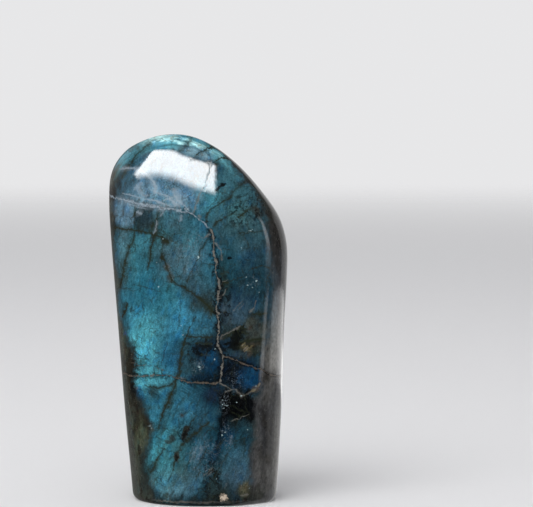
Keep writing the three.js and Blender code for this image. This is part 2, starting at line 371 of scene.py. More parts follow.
# What the show face has, from the widest zones to the smallest. Each patch is a colour, how
# much it covers, its middle x and z, half its width and height, the softness of its edge (0.6
# where it isn't given), and its lean to the right in degrees (none where it isn't given).
FACE_PATCHES = (
    # the great zones: quiet right half, slate head, left flash, lower flash
    ("deep", 1, 14, 72, 13, 34, 0.35), ("dim", 0.8, 8, 92, 9, 12, 0.5, 35),
    ("teal", 0.95, -12, 60, 16, 28, 0.25), ("dim", 0.9, 0.5, 67, 7, 17, 0.35, 6),
    ("slate", 0.55, -3, 74, 5, 8, 0.6, 14), ("slate", 1, -14, 93, 14, 8.5, 0.3, 6),
    ("bright", 0.6, 2.4, 90.6, 4.4, 5, 0.6, 15), ("teal", 1, -7, 24, 9.5, 16, 0.3, 8),
    ("dim", 1, 0, 17, 7, 18, 0.45, 14),
    # the head: milky on the left, quiet on the right
    ("haze", 0.85, -15.5, 92.8, 5.5, 3.6, 0.7, 8), ("haze", 0.7, -4.2, 91.6, 4.6, 4, 0.8),
    ("haze", 0.5, -10, 101.5, 11, 5, 0.5, 8), ("haze", 0.6, -22.2, 86.2, 4, 4.6, 0.25),
    ("body", 0.9, -15.4, 85.2, 3.4, 4.4, 0.25, 6), ("navy", 0.45, -14.6, 85.6, 2.4, 3.6, 0.7),
    ("dim", 0.85, -6, 84.5, 5.5, 3.6, 0.5), ("slate", 0.4, -5, 83.6, 3, 2.4, 0.9),
    ("teal", 0.7, -1.5, 81, 3.2, 4.5, 0.7, 20), ("night", 0.9, -25, 92.4, 0.9, 2, 0.5, 10),
    ("night", 0.7, -24.6, 82.9, 0.9, 1.1), ("night", 0.7, -23.8, 96, 0.8, 3.2, 0.7, -18),
    # the left flash
    ("bright", 0.75, -14, 55, 9, 17, 0.5, 6), ("core", 0.85, -15.4, 49, 5.2, 10, 0.7, 4),
    ("core", 0.3, -9, 58, 3.5, 7, 0.8, 8), ("bright", 0.6, -4.5, 55.5, 3.6, 6.5, 0.6, 10),
    ("blue", 0.3, -14, 62, 4, 6, 0.9, 8), ("slate", 0.6, -22.4, 73, 2.6, 9, 0.4, 4),
    ("dim", 0.5, -20, 66, 1.8, 5, 0.5, 10), ("lilac", 0.6, -9, 72.5, 3.2, 5.2, 0.7, 4),
    ("core", 0.85, -16, 37.4, 5.4, 3.6, 0.3), ("core", 0.4, -9.5, 37.2, 4.5, 2, 0.35, -4),
    ("blue", 0.55, -8, 43.4, 4, 2.6, 0.8), ("dim", 0.5, -3.6, 44, 3, 4.5, 0.7),
    # the dark step between the left flash and the middle
    ("body", 0.85, 2.2, 61, 5, 2.4, 0.5, -28), ("deep", 0.7, -2, 64, 4.5, 2.5, 0.6, -30),
    ("olive", 0.8, 4.6, 58.6, 1.8, 2.2, 0.7), ("body", 0.7, -0.8, 42.8, 3.4, 5, 0.9),
    # the dull middle right, with black flakes and stained grains
    ("body", 0.95, 8.5, 60, 1.9, 9, 0.5, 2), ("night", 0.6, 8, 58.4, 0.9, 4.6, 0.6, -4),
    ("night", 0.5, 8.6, 65.4, 1.2, 2.2), ("body", 0.6, 7.4, 70, 1.4, 4, 0.7),
    ("navy", 0.85, 3.6, 46.6, 5.6, 3.6, 0.5), ("night", 0.7, 2.4, 47.4, 3.4, 1.5, 0.8),
    ("lilac", 0.7, 12, 58, 4.6, 5.4, 0.7), ("body", 0.7, 17.6, 52.6, 3.8, 4.6, 0.4),
    ("rind", 0.75, 17.2, 52.8, 2.8, 3.2, 0.7), ("body", 0.9, 10.6, 50.2, 3.8, 3, 0.5),
    ("night", 0.95, 11.1, 50.2, 1.5, 2.9, 0.35, 26), ("night", 0.92, 11.4, 47.7, 2.9, 1.3, 0.4, 4),
    ("olive", 0.9, 15.6, 46.8, 3.2, 2.4, 0.5, -14), ("ochre", 0.6, 14.4, 46.9, 1.5, 0.9, 0.7, 20),
    ("rind", 0.7, 17.8, 50.6, 1.8, 3.4), ("rind", 0.7, 16, 54.4, 2.6, 1.6),
    ("lilac", 0.6, 12.4, 44.9, 3.2, 1, 0.6, -14), ("navy", 0.8, 8.4, 48.9, 1.3, 2.2, 0.5),
    ("night", 0.95, 12.4, 52.1, 1.9, 0.8, 0.3, -8), ("night", 0.95, 13.9, 51.9, 1.4, 0.3, 0.3, 10),
    ("night", 0.95, 13.3, 53, 0.32, 1.1, 0.3, 32), ("night", 0.9, 13.6, 51.3, 1.1, 0.28, 0.3, 42),
    ("night", 0.9, 11.9, 53, 0.28, 0.8, 0.3, -20), ("night", 0.85, 9, 48.5, 1.2, 0.4, 0.3, -20),
    ("umber", 0.9, 15.6, 48.7, 3.4, 0.42, 0.4, -2), ("rust", 0.7, 16.8, 48.1, 1.9, 0.5),
    ("rust", 0.7, 15.4, 45.3, 0.7, 1, 0.6, 20), ("night", 0.8, 2, 47.7, 2.6, 0.5, 0.35, 4),
    ("night", 0.8, 3.8, 46.2, 1.2, 0.9, 0.35), ("night", 0.7, -0.4, 47, 1, 0.5, 0.4, 10),
    ("night", 0.7, 1.2, 45.2, 0.9, 0.5, 0.4), ("grey_olive", 0.85, 16.9, 52.2, 2.8, 3.6, 0.4),
    ("grey_olive", 0.6, 18.4, 46.8, 1.6, 1.2, 0.5),
    ("ochre", 0.95, 14, 47.1, 1.1, 0.28, 0.35, -45),
    ("ochre", 0.95, 14.7, 46.7, 1.3, 0.26, 0.35, -38),
    ("ochre", 0.9, 13.5, 48, 1, 0.24, 0.35, -38), ("ochre", 0.8, 15.6, 47.3, 0.9, 0.22, 0.35, -30),
    # the chip-coloured streaks on the mica grains are painted glints
    ("chip", 0.6, 14.1, 46.9, 0.7, 0.17, 0.4, -45), ("chip", 0.5, 14.9, 47.1, 0.4, 0.15, 0.4, -38),
    ("chip", 0.4, 13.4, 47.7, 0.4, 0.14, 0.4, -38),
    # the band of deep blue
    ("navy", 0.95, 13.2, 39.4, 6.6, 4.6, 0.3), ("blue", 0.85, 15.6, 38.4, 2.9, 3, 0.7, 10),
    ("night", 0.6, 9.6, 39.8, 1.8, 3.2, 0.7, 8), ("blue", 0.85, 4.2, 42.8, 2.2, 3, 0.6, 10),
    ("navy", 0.8, 2, 38.4, 5.4, 1.2, 0.5), ("violet", 0.7, 4.6, 33.8, 2.8, 2.6),
    ("rust", 0.7, 17.4, 34.9, 1.7, 1, 0.5, -34), ("ochre", 0.8, 18.2, 35.9, 0.8, 0.35, 0.5, -50),
    # the chip colour on this ochre grain is a painted glint
    ("ochre", 0.7, 16.4, 34.2, 0.9, 0.3, 0.5, -20), ("chip", 0.5, 18.5, 36.2, 0.4, 0.2, 0.5, -50),
    # the black hollow and the dark trail below it
    ("night", 1, 12.6, 30.4, 6, 4.3, 0.2, 4), ("night", 0.95, 7.9, 31.8, 2, 2.4, 0.35, -20),
    ("night", 0.9, 15.9, 27.6, 1.9, 4, 0.35, 10), ("night", 0.9, 14.6, 27.2, 2.9, 2.6, 0.4, 20),
    ("night", 0.9, 8, 26.4, 1.75, 4.4, 0.5, 14), ("navy", 0.95, 6.6, 19.6, 1.1, 6.4, 0.5, 16),
    ("night", 0.6, 6.8, 21.6, 0.7, 3.6, 0.6, 16),
    # the lower right
    ("dim", 0.75, 11.5, 20, 4.2, 4.6, 0.6, 12), ("blue", 0.6, 8.8, 21.4, 1.7, 2.8, 0.8, 12),
    ("slate", 0.9, 11.2, 10.6, 5.2, 7.6, 0.4, 6), ("lilac", 0.7, 11.6, 7.6, 4.4, 4.2, 0.7),
    ("blue", 0.7, 4.4, 14.6, 1.3, 2.1, 0.7, 20), ("lavender", 0.5, 1.4, 17, 2.2, 3.4, 0.8, 20),
    ("slate", 0.6, 0.2, 11.6, 2, 3.2, 0.8, 20), ("body", 0.7, 4.2, 9.6, 2, 5.4, 0.6, 10),
    ("body", 0.9, 7.6, 3.6, 3.2, 3.2), ("olive", 0.8, 14.2, 4.6, 2.6, 2.6, 0.5, -10),
    ("ochre", 0.35, 14.6, 4.8, 1.8, 1.8, 0.8),
    # the lower left
    ("bright", 0.9, -11.2, 18, 1.9, 5.2, 0.7, 20), ("bright", 0.8, -3.4, 29.6, 3.2, 3.8, 0.8),
    ("bright", 0.6, -10.8, 28.6, 1.8, 4, 0.7, 18), ("slate", 0.85, -6.6, 6.4, 6.6, 4.4, 0.5),
    ("bright", 0.5, -9.6, 8.6, 3, 4.4, 0.8, 16), ("body", 0.5, -3.4, 10.8, 1.8, 2.4, 0.7, 20),
    ("blue", 0.8, -17, 33.4, 1.2, 1.8, 0.5, -10), ("azure", 0.95, -21.6, 50.8, 0.55, 0.5, 0.5),
    ("dim", 0.8, -13.4, 34.6, 2.6, 1.4, 0.6, -10), ("body", 0.6, -12.6, 33.8, 1.6, 1.6, 0.8),
    # stains beside the lower cleavage lines
    ("olive", 0.5, -8.3, 31.4, 1, 4.6, 0.6, 20), ("olive", 0.45, -10.2, 23.4, 0.9, 3, 0.6, 24),
    ("olive", 0.5, -13, 11.6, 0.8, 3.6, 0.6, 24), ("olive", 0.45, -6, 9, 0.8, 3.4, 0.6, 18),
    ("olive", 0.4, -3.4, 19.6, 0.9, 3.6, 0.6, 50), ("olive", 0.4, -4.2, 28, 1, 1.4, 0.7),
    # the foot's edge: painted shade low along the foot, and a thin painted highlight along the top
    # of its bevel
    ("body", 0.8, 2, 0.6, 22, 1.9, 0.5), ("healed", 0.45, 5, 1.3, 14, 0.3),
    ("healed", 0.4, -7, 1.3, 9, 0.26),
    # single grains
    ("umber", 0.9, -3.1, 23.1, 1, 1.4, 0.4, 24), ("umber", 0.9, -3.9, 21.2, 0.95, 1.6, 0.4, 24),
    ("night", 0.85, -3.7, 21.4, 0.5, 1, 0.5, 24), ("umber", 0.9, -6.1, 14.9, 0.9, 1.7, 0.4, 4),
    ("night", 0.8, -6.2, 14.6, 0.45, 1, 0.5, 4), ("umber", 0.8, -5, 16.9, 0.4, 0.4),
    ("umber", 0.8, -7.5, 20.5, 1.1, 1, 0.5, 30), ("umber", 0.75, -8.6, 19.3, 0.9, 0.6, 0.5),
    ("rust", 0.5, -4.7, 27.2, 0.6, 0.7, 0.7), ("olive", 0.7, -9.4, 3, 0.8, 0.9, 0.7),
    ("umber", 0.7, -9.2, 78.6, 1.2, 0.9, 0.5, -40), ("umber", 0.9, -10.4, 73.9, 0.7, 0.8, 0.5),
    ("rust", 0.6, -8.6, 70.8, 0.9, 1.3, 0.7, -30), ("rust", 0.6, -7.6, 68, 0.8, 1.4, 0.7, 8),
    ("umber", 0.8, 2.8, 84.3, 0.4, 0.5), ("night", 0.95, 9.5, 73.9, 0.8, 0.46, 0.4),
    ("night", 0.95, 7.4, 95, 1.1, 0.55, 0.4, -24), ("night", 0.9, 6, 93.9, 1.1, 0.42, 0.5, -36),
    ("night", 0.8, -6.9, 94, 0.36, 0.4), ("umber", 0.8, 17.6, 87.2, 1.1, 2, 0.6, -34),
    ("umber", 0.6, 13.6, 95.6, 1.6, 0.7, 0.7, -10),
)

# Broad zones where the flash is stronger or weaker than its patches: how many times as much red,
# green and blue, then the zone's middle, half sizes, edge and lean, as for a patch
FACE_TONES = (
    ((1.7, 1.4, 1.22), 9.5, 92, 8.5, 9, 0.6, -30), ((0.86, 0.8, 0.82), 8.5, 82, 5, 4.6),
    ((1.15, 1.3, 1.3), 2.4, 74, 3.4, 6, 0.7), ((0.72, 1.1, 1.1), 9.5, 71, 3.2, 8, 0.7),
    ((1.3, 1.2, 1.08), -21, 74, 3.4, 7), ((1.45, 1.45, 1.35), -10.5, 90, 8, 4.2, 0.5),
    ((0.45, 0.6, 0.63), -22, 96, 4.4, 7, 0.6, 20), ((1.35, 1.1, 0.98), -9, 78, 9, 8),
    ((1.35, 1.3, 1.15), 14, 83, 8, 6), ((1.05, 0.86, 0.8), 0.5, 66, 6, 4.2),
    ((1.4, 1.45, 1.5), 1, 59, 6, 7), ((1.2, 1.25, 1.3), -3, 47, 5, 8),
    ((0.8, 0.88, 0.84), -13, 64, 8, 7), ((0.66, 0.68, 0.72), -8.5, 48.5, 3.8, 6, 0.7, 6),
    ((0.66, 0.68, 0.75), 10.5, 42, 5, 3.4), ((1.2, 1.28, 1.22), -15.6, 47, 4.6, 10),
    ((0.5, 0.66, 0.68), 18, 66, 6.5, 7), ((0.5, 0.65, 0.7), 3.5, 37.5, 5.5, 7.5),
    ((0.75, 0.72, 0.75), 11, 39.5, 6, 6), ((0.85, 0.74, 0.76), -1.5, 30.5, 6, 8, 0.6, 10),
    ((0.45, 0.44, 0.44), 9, 27, 5, 7.5, 0.6, 10), ((0.5, 0.68, 0.72), 6.5, 18, 8, 5.2),
    # the second tone below darkens the foot: painted shade where the stone meets the table
    ((0.78, 0.86, 0.84), 6, 10, 4.6, 4.4), ((0.6, 0.58, 0.58), 8, 1.4, 16, 2.2),
    ((1.55, 1.42, 1.2), -8.5, 13.5, 6.5, 10, 0.6, 10),
)

# Dark cracks and cleavage lines of the show face: x and z of both ends, width, how much they
# cover, and the bow (0.1 where it isn't given)
FACE_LINES = (
    # the head
    (-11, 88.6, -11.8, 84.6, 0.5, 0.7), (-11.6, 85.6, -13.4, 76.4, 0.9, 0.9, 0.2),
    (-12.6, 84.2, -13.2, 79.6, 0.5, 0.8, -0.3), (-13.4, 77.4, -14.8, 70, 0.7, 0.85, 0.2),
    (-9.8, 90.6, -11, 84.4, 0.4, 0.5, 0.2), (-18.4, 90, -18.4, 80.8, 0.4, 0.7),
    (-18.3, 81.2, -20, 76.2, 0.6, 0.8), (-20, 76.8, -21.4, 71.4, 0.7, 0.8, -0.1),
    (-21.2, 73, -23.4, 64.2, 1, 0.9, 0.3), (-13.3, 107.4, -18.8, 103.2, 0.7, 0.7, -0.3),
    (-18.2, 104, -21.6, 99.2, 0.6, 0.8, 0.3), (-20.6, 101, -22.8, 96.6, 0.8, 0.7, 0.2),
    (-5.6, 105, -2.4, 107.3, 1.3, 0.5, -0.2), (-2.8, 107, 0.2, 108.9, 0.4, 0.6),
    (-1, 103, 6.4, 105.2, 0.5, 0.95, 1.3), (4.6, 101.6, 10.2, 101.8, 0.5, 0.95, 1),
    (5.2, 101.4, 6, 100.6, 0.6, 0.8, 0), (-26.4, 82.2, -18.5, 81.8, 0.8, 0.95),
    (-18.9, 81.8, -12.8, 80.4, 0.6, 0.9, 0.2), (-13.2, 80.6, -8.2, 77.8, 1, 0.9, 0.5),
    (-9.6, 79.6, -10.5, 72.6, 0.5, 0.6, -0.3), (2.5, 84.6, 5.1, 88.8, 0.5, 0.85, 0.4),
    (4.9, 88.4, 10.2, 91.8, 0.5, 0.85, 0.2), (9.2, 91.2, 14.2, 96.2, 0.5, 0.6, 0.2),
    (4.8, 82.6, 8.4, 85.8, 0.5, 0.85, 0.4), (8, 85.6, 12.6, 86.2, 0.4, 0.7, 0.4),
    (11.8, 85.4, 15.2, 87.8, 0.6, 0.95, -0.2), (12.6, 88.4, 16.2, 91.4, 0.4, 0.6, 0.2),
    (9.6, 88.8, 13.2, 90.2, 0.3, 0.5, 0.2),
    # the left flash
    (-10.5, 74.4, -8.6, 70.6, 0.5, 0.9), (-8.9, 71.2, -7.2, 66.2, 0.5, 0.8, 0.2),
    (-7.6, 67.6, -3.4, 64.8, 0.6, 0.8, -0.3), (-4.6, 65.4, 1.4, 61, 0.7, 0.85, 0.2),
    (0.4, 61.8, 5.4, 57.2, 1, 0.9, 0.2), (-3.2, 66, 0.6, 74, 0.4, 0.7, 0.3),
    (0.6, 74, 3.4, 79.8, 0.4, 0.8, 0.3), (-6.2, 65.5, -2.4, 74.5, 0.3, 0.4, -0.3),
    (-24.8, 64, -19.4, 64.5, 0.4, 0.7), (-19, 65.6, -12, 64, 0.35, 0.55, 0.2),
    (-20.6, 60.4, -22.6, 55.4, 0.7, 0.95), (-5, 62, -5.8, 52, 0.4, 0.6, 0.3),
    (-8.6, 49, -9.6, 46, 0.35, 0.7, 0), (-9.4, 46.4, -10.8, 41.6, 0.4, 0.6),
    (-0.4, 57, -2.2, 53.2, 0.4, 0.8, 0.2), (-2, 53.8, -3.8, 49.6, 0.6, 0.9),
    (-3.6, 50.4, -5, 43.4, 0.7, 0.9), (-4.8, 44.6, -5.9, 38, 0.6, 0.9),
    (-4.2, 43, -5.2, 38.6, 0.5, 0.7, -0.2), (-5.6, 39.4, -7.6, 33.2, 0.6, 0.85),
    (-11.4, 45, -1.4, 45.2, 0.25, 0.35), (-3.4, 50.8, 4.6, 50.4, 0.6, 0.85, -0.1),
    (-1, 48.8, 4.8, 48.2, 0.5, 0.7, 0.2), (1, 45.2, 4, 44.8, 0.5, 0.6),
    (-15.8, 36.3, -10.7, 35.2, 0.5, 0.8, -0.3), (-11.2, 35.2, -6.4, 37.3, 0.6, 0.85, -0.4),
    (-20.2, 39.6, -17.4, 39.2, 0.7, 0.7), (-12.8, 41.4, -12.2, 36.2, 0.3, 0.5, 0.2),
    # the right half
    (12, 80.8, 20.6, 81.3, 0.3, 0.7, 0.2), (15.4, 69.8, 20.2, 71.2, 0.4, 0.85, 0.3),
    (19.4, 71.2, 22.4, 68.6, 0.45, 0.9, 0.6), (22.3, 69.4, 22.5, 64.6, 0.45, 0.9),
    (6.8, 68.6, 9.6, 69.6, 0.5, 0.7, 0.2), (7, 66, 9.4, 66.4, 0.7, 0.9, 0.3),
    (16.2, 57, 20.9, 57.3, 0.5, 0.95, -0.1), (12.4, 48.8, 20.4, 49.5, 0.6, 0.95, 0.2),
    (19.4, 49.4, 23, 49.2, 0.4, 0.6, 0), (11.4, 52.4, 13.8, 53.8, 0.6, 0.9, 0),
    (12.6, 51.8, 15.4, 51.2, 0.5, 0.9), (12.8, 52.8, 14.8, 52.6, 0.4, 0.9, 0),
    (7.4, 49.4, 11, 52.2, 0.6, 0.8, 0.3), (20, 39.8, 23.6, 37.2, 0.9, 0.7, 0.2),
    (19.4, 40.2, 22.4, 39.6, 0.5, 0.6),
    # the lower third
    (-7.4, 34, -9.6, 28.8, 0.8, 0.9), (-9.2, 30, -11, 25.4, 0.5, 0.85),
    (-8.2, 31.4, -10.4, 26.2, 0.4, 0.8, -0.5), (-10.8, 26, -12, 22, 0.5, 0.6),
    (-9.8, 17.6, -12.4, 13.4, 0.6, 0.85), (-12.2, 14, -14, 9.2, 0.5, 0.75),
    (0.2, 27.4, -4.6, 21.8, 0.35, 0.65), (9.2, 16.1, 4.5, 8.4, 0.4, 0.65, 0.2),
    (3.4, 18.4, -1.8, 9.6, 0.35, 0.6, 0.2), (-1, 32.6, -3.6, 27.6, 0.3, 0.5),
    (-5.6, 30.6, -7.4, 26.2, 0.3, 0.5), (3.4, 25.6, 1.2, 23.7, 0.5, 0.9, 0.2),
    (1.4, 24, -1, 21.6, 0.6, 0.9), (-0.6, 22.2, -5.2, 18.2, 0.5, 0.85, 0.2),
    (-4.8, 18.8, -6.2, 15.8, 0.4, 0.7), (-6.6, 13.6, -7.4, 10.8, 0.7, 0.85),
    (-7.2, 11.6, -8.6, 7.2, 0.4, 0.7), (-1.4, 18, -4.4, 9, 0.4, 0.5, 0.4),
    (1.4, 13, -1.4, 6, 0.4, 0.5, 0.3), (-5.8, 13, -3.4, 15.4, 0.3, 0.5, -0.2),
    (5.8, 17, 8.4, 20.4, 0.4, 0.7), (8, 14.4, 10.4, 17.6, 0.4, 0.6, 0.2),
    (-13, 8.2, -9.2, 5, 0.3, 0.5, -0.3),
)

# Soft milky veils, drawn the same way
FACE_VEILS = (
    (-24.2, 99.2, -19, 99.8, 0.7, 0.6, 0.3), (-19.4, 99.9, -15, 98.4, 0.9, 0.65, 0.4),
    (-15.6, 98.8, -12.6, 95.2, 1.1, 0.7, 0.5), (-13.2, 96.4, -12.4, 92.6, 1.3, 0.75, 0.5),
    (-12.8, 93.4, -8.6, 91.8, 0.8, 0.6, -0.2), (-9.2, 92.2, -6.2, 88.8, 1, 0.6, 0.3),
    (-7.2, 94.4, -5.2, 88.4, 2, 0.5, 0.6), (-18, 95.4, -14.6, 91.6, 1.6, 0.4, -0.6),
    (-18.6, 93.4, -16, 95.8, 1.2, 0.35, 0.4), (-22.4, 92.5, -15.2, 90.9, 0.35, 0.65, 0.2),
    (-15.4, 91, -9.4, 89.7, 0.4, 0.7, 0.2), (-20.4, 89.4, -14.2, 88.2, 0.3, 0.5, -0.1),
    (-12.6, 90.5, -6.2, 88.8, 0.4, 0.75, -0.3), (-8.6, 91.6, -5, 88.3, 0.45, 0.8, 0.3),
    (-6.8, 92.6, -4.4, 89.2, 0.4, 0.7, -0.3), (-9.6, 90.4, -6, 91.7, 0.35, 0.7, 0.4),
    (-5.9, 90.6, -3, 88.4, 0.4, 0.75, 0.2), (-24.4, 91.2, -15.6, 89.2, 1.3, 0.5, -0.1),
    (-17.6, 89.7, -9.4, 88.1, 1.1, 0.75), (-10.4, 88.5, -4.4, 87.5, 0.8, 0.7),
    (-3.6, 88.3, -2.2, 87.5, 1.1, 0.7, 0), (-17.8, 87.3, -16.2, 86.5, 1.2, 0.6, 0),
    (-8.8, 89.8, -10.6, 85.8, 0.5, 0.4), (-11.6, 84.8, -12.8, 80.6, 0.4, 0.5, 0.2),
    (-4.6, 86.8, -5.4, 84.4, 0.8, 0.4), (1.2, 18.4, 0.4, 14.6, 0.7, 0.2, 0.2),
    (10.4, 21.6, 9.4, 18.8, 0.5, 0.25), (-2.2, 13.2, 0.4, 18, 0.5, 0.18, 0.2),
    (-17.6, 35.4, -18.2, 34.4, 0.5, 0.6, 0),
)

# Fine pale cracks and branches, drawn the same way
FACE_HAIRS = (
    (-1, 86.6, 0, 89.8, 0.45, 0.85, -0.1), (0, 89.4, 1.2, 93, 0.6, 0.85),
    (1, 92.6, 2.6, 95.4, 0.4, 0.7), (2.5, 95, 3.9, 99.6, 0.3, 0.6, -0.4),
    (3.6, 99, 4.4, 103.4, 0.35, 0.5), (-4.2, 96.6, -4, 98.8, 0.3, 0.5),
    (-4, 98.6, -2.2, 102.8, 0.25, 0.4), (0.6, 86.4, 1, 84.8, 0.8, 0.8),
    (0, 80.8, 1.6, 79.4, 0.3, 0.5), (1.8, 79.2, 4.6, 80.8, 0.5, 0.8, 0.2),
    (2.6, 80.2, 3.8, 81.8, 0.3, 0.6, -0.2), (4.9, 78.4, 6.9, 75.8, 0.5, 0.85, 0.2),
    (6.8, 76.2, 7.2, 72.8, 0.35, 0.7, 0.2), (7.2, 66.2, 9.4, 67.3, 0.3, 0.75, 0.3),
    (6.8, 61.6, 7.6, 63, 0.4, 0.8), (7.4, 62.4, 8.9, 64.4, 0.3, 0.75),
    (10.6, 57.8, 13.4, 61, 0.25, 0.5, 0.2), (11.8, 58.2, 13.8, 60.4, 0.25, 0.4, -0.2),
    (7, 49.4, 7.8, 51.2, 0.6, 0.6), (7.6, 51, 11.2, 52.5, 0.45, 0.8, 0.2),
    (10.8, 52.3, 12.8, 53.6, 0.5, 0.75), (15.4, 57.2, 17.1, 59.1, 0.6, 0.8),
    (16.9, 58.9, 17.5, 61.3, 0.4, 0.7), (13.4, 46, 14.8, 47.6, 0.3, 0.9),
    (13.9, 45.8, 14.9, 47, 0.3, 0.9), (13, 47.4, 14.2, 48, 0.25, 0.8),
    (6.6, 36.8, 8.6, 35.7, 0.5, 0.9, 0), (8.2, 35.9, 10.2, 34.9, 0.4, 0.7),
    (8.2, 33.9, 9.9, 34.9, 0.5, 0.85), (9.6, 34.9, 11.5, 34.8, 0.4, 0.55),
    (11.2, 34.9, 12.7, 33.1, 0.5, 0.65), (12.4, 33.1, 14.2, 33.1, 0.9, 0.9, -0.1),
    (13.8, 33, 17.2, 34.6, 0.4, 0.5, -0.1), (16.6, 34.2, 18.7, 36, 0.6, 0.5, 0.2),
    (-7.2, 38.6, -5.2, 37.9, 0.6, 0.8), (-5.6, 38.2, -3.2, 37.9, 0.5, 0.7),
    (10, 25.8, 12.4, 26.2, 0.25, 0.7), (12.2, 26.1, 15.4, 27.4, 0.25, 0.7),
    (12.6, 3.1, 15.4, 3.3, 0.7, 0.85), (1.6, 9, 4.6, 12, 0.3, 0.6, 0),
    (2.4, 8.8, 4.9, 11.4, 0.25, 0.5, 0), (8, 5.2, 9, 7, 0.3, 0.5),
)

# Open hair cracks in the polish of the crown, drawn the same way, with their share of the depth
# in place of how much they cover
OPEN_CRACKS = (
    (-1.8, 103, -3.5, 98.4, 0.45, 0.9, -0.1), (-3.4, 98.7, -4.5, 96.2, 0.4, 0.8),
    (2.7, 103.4, 3.9, 99.8, 0.42, 0.9, 0.2), (3.9, 100.1, 3.2, 96.4, 0.45, 1, 0.2),
    (3.2, 96.8, 2.1, 93.4, 0.45, 0.8),
)

# How much deeper than the healed fractures the open ones are
CRACK_DEPTH = 6.0

# Painted glints, pale grains that catch the light: x, z, half size
FACE_SPARKS = (
    (0.4, 74, 0.42), (-2.2, 79, 0.22), (-12, 72.3, 0.2), (-11.2, 65.2, 0.2), (15.5, 81.5, 0.4),
    (16.4, 82, 0.2), (14.7, 68.1, 0.26), (17.6, 67, 0.34), (14.9, 65.4, 0.22), (16.2, 64.7, 0.24),
    (13, 76.6, 0.2), (18.2, 63.4, 0.2), (-4.6, 53.9, 0.26), (-4.4, 51.2, 0.3), (5.3, 46.7, 0.28),
    (5.1, 43.8, 0.28), (0.5, 41.6, 0.5), (0.8, 40.9, 0.3), (7.3, 31.8, 0.26), (7.4, 30.5, 0.3),
    (8.3, 30.3, 0.28), (8.9, 30.2, 0.24), (7.9, 29.4, 0.26), (11.7, 31.1, 0.3), (7.3, 21.5, 0.3),
    (8.3, 22.4, 0.24), (14.8, 22.7, 0.24), (-14.2, 24, 0.5), (-13.6, 23.2, 0.3),
    (-20.2, 42.4, 0.3), (12.9, 33, 0.4), (17.2, 35.6, 0.3), (5.6, 8.4, 0.22), (15.6, 5.2, 0.26),
    (-9.8, 79.2, 0.26), (-2.8, 88, 0.4),
)

# Places where pale specks crowd, and where black ones do: x, z, half width and height
PALE_CROWDS = (
    (-6, 92, 7.5, 4.6), (11.4, 37.6, 2.4, 2.8), (7.8, 30.8, 1.5, 2.6), (0.6, 42, 2, 1.6),
    (2, 14.6, 4.5, 5.5), (16, 66, 1.6, 1.8), (8.6, 21, 1.6, 4.6), (-2, 75, 4, 6),
)
DARK_CROWDS = (
    (1.4, 46.6, 6.6, 4.4), (8.2, 62, 2.6, 8), (11.8, 50, 5, 3.6), (-3.6, 22, 2.6, 3.6),
    (17.6, 89, 3.2, 6), (4.6, 9, 3.6, 7), (-19.4, 37, 2.4, 12), (10, 39, 4, 4.4), (13, 87, 4, 5),
    (-7.2, 94.6, 1.3, 1.6),
)

# The healed fractures. The upper one crosses the head and turns down the middle, the lower
# one crosses at a third of the height, and two short ones join them.
UPPER_HEALED = (
    (-30, 92.2), (-24.6, 91.1), (-20.4, 90.4), (-16.8, 89.5), (-14, 89.1), (-11, 88.5), (-8, 88),
    (-5, 87.6), (-3, 87.3), (-1, 86.4), (0.4, 85.2), (2, 83.9), (3.9, 82.2),
)
DOWNWARD_HEALED = (
    (36.6, 6.8), (39, 7), (42.5, 7.4), (45, 7.6), (46.7, 6.9), (48.8, 6.2), (50.6, 6.3),
    (52.6, 6.5), (55.5, 6.2), (58.5, 5.9), (61.4, 6.1), (64.4, 6.7), (67.3, 6.5), (69.7, 5.5),
    (72, 5.8), (73.8, 5.4), (75.6, 4.9), (78, 4.9), (80.4, 4.6), (82.6, 3.8),
)
LOWER_HEALED = (
    (-30, 39.4), (-20.2, 38.6), (-16, 38.6), (-12.2, 38.8), (-9.8, 39.1), (-7.5, 38.8),
    (-5.7, 37.9), (-3.4, 37.3), (-1.4, 37), (0.4, 37), (3.9, 36.8), (6.9, 36.8),
)
LOWER_TWIN = (
    (-20.4, 42.5), (-17.7, 41.9), (-15.1, 42), (-12.8, 41.7), (-11, 41), (-9, 40.2),
)
RIGHT_HEALED = (
    (7.4, 45), (9.2, 44.2), (12.1, 43.2), (14.2, 42.2), (15.9, 41.6), (18.6, 40.5), (22.4, 38.4),
    (30, 36),
)

# The rim of the crown as seen from the front, x and z
CROWN_RIM = (
    (-26.4, 97), (-22.2, 104.4), (-14.8, 108.6), (-7.8, 110), (-1.2, 109.2), (6.5, 105.4),
    (13.4, 99.6), (19.8, 92.2), (24.7, 85),
)

# Streaks of the crown, as patches. The bright crown streaks are the flash brightened near white:
# painted sheen along the rim
CROWN_STREAKS = (
    ("belt", 0.8, -17.5, 106.2, 4, 1.4, 0.6, -28), ("dim", 0.6, -18.6, 103.4, 3.4, 2.4, 0.7, -20),
    ("crown", 1, -9.2, 108.5, 4.2, 0.65, 0.45, -6), ("belt", 0.8, -4.2, 106.8, 4.6, 1.4, 0.6, 10),
    ("crown", 0.9, -4.2, 107.2, 3.4, 0.38, 0.45, 14),
    ("crown", 0.5, -13.4, 107.8, 2.6, 0.6, 0.7, -18),
    ("crown", 0.5, -3.6, 108.2, 1.9, 0.4, 0.6, 10), ("crown", 1, 0.9, 106.3, 3.3, 0.6, 0.4, 24),
    ("crown", 0.7, 3.2, 105.4, 1.6, 0.42, 0.6, 30), ("crown", 0.5, 4.4, 104.4, 0.9, 0.7, 0.7),
    ("crown", 0.35, 6.6, 103.4, 1.6, 0.8, 0.7, 30), ("belt", 0.6, -8.2, 106.4, 4, 1, 0.8),
    ("olive", 0.55, -3.6, 106.4, 1.6, 0.7, 0.8, -38),
    ("haze", 0.85, 0.4, 104.3, 4.8, 1.5, 0.6, 18), ("belt", 0.6, -0.8, 104.6, 4.8, 1.2, 0.6, 16),
    ("milk", 0.35, -0.8, 104.6, 4.6, 1.1, 0.6, 16), ("belt", 0.7, 5.6, 103, 1.8, 1, 0.7, 30),
)

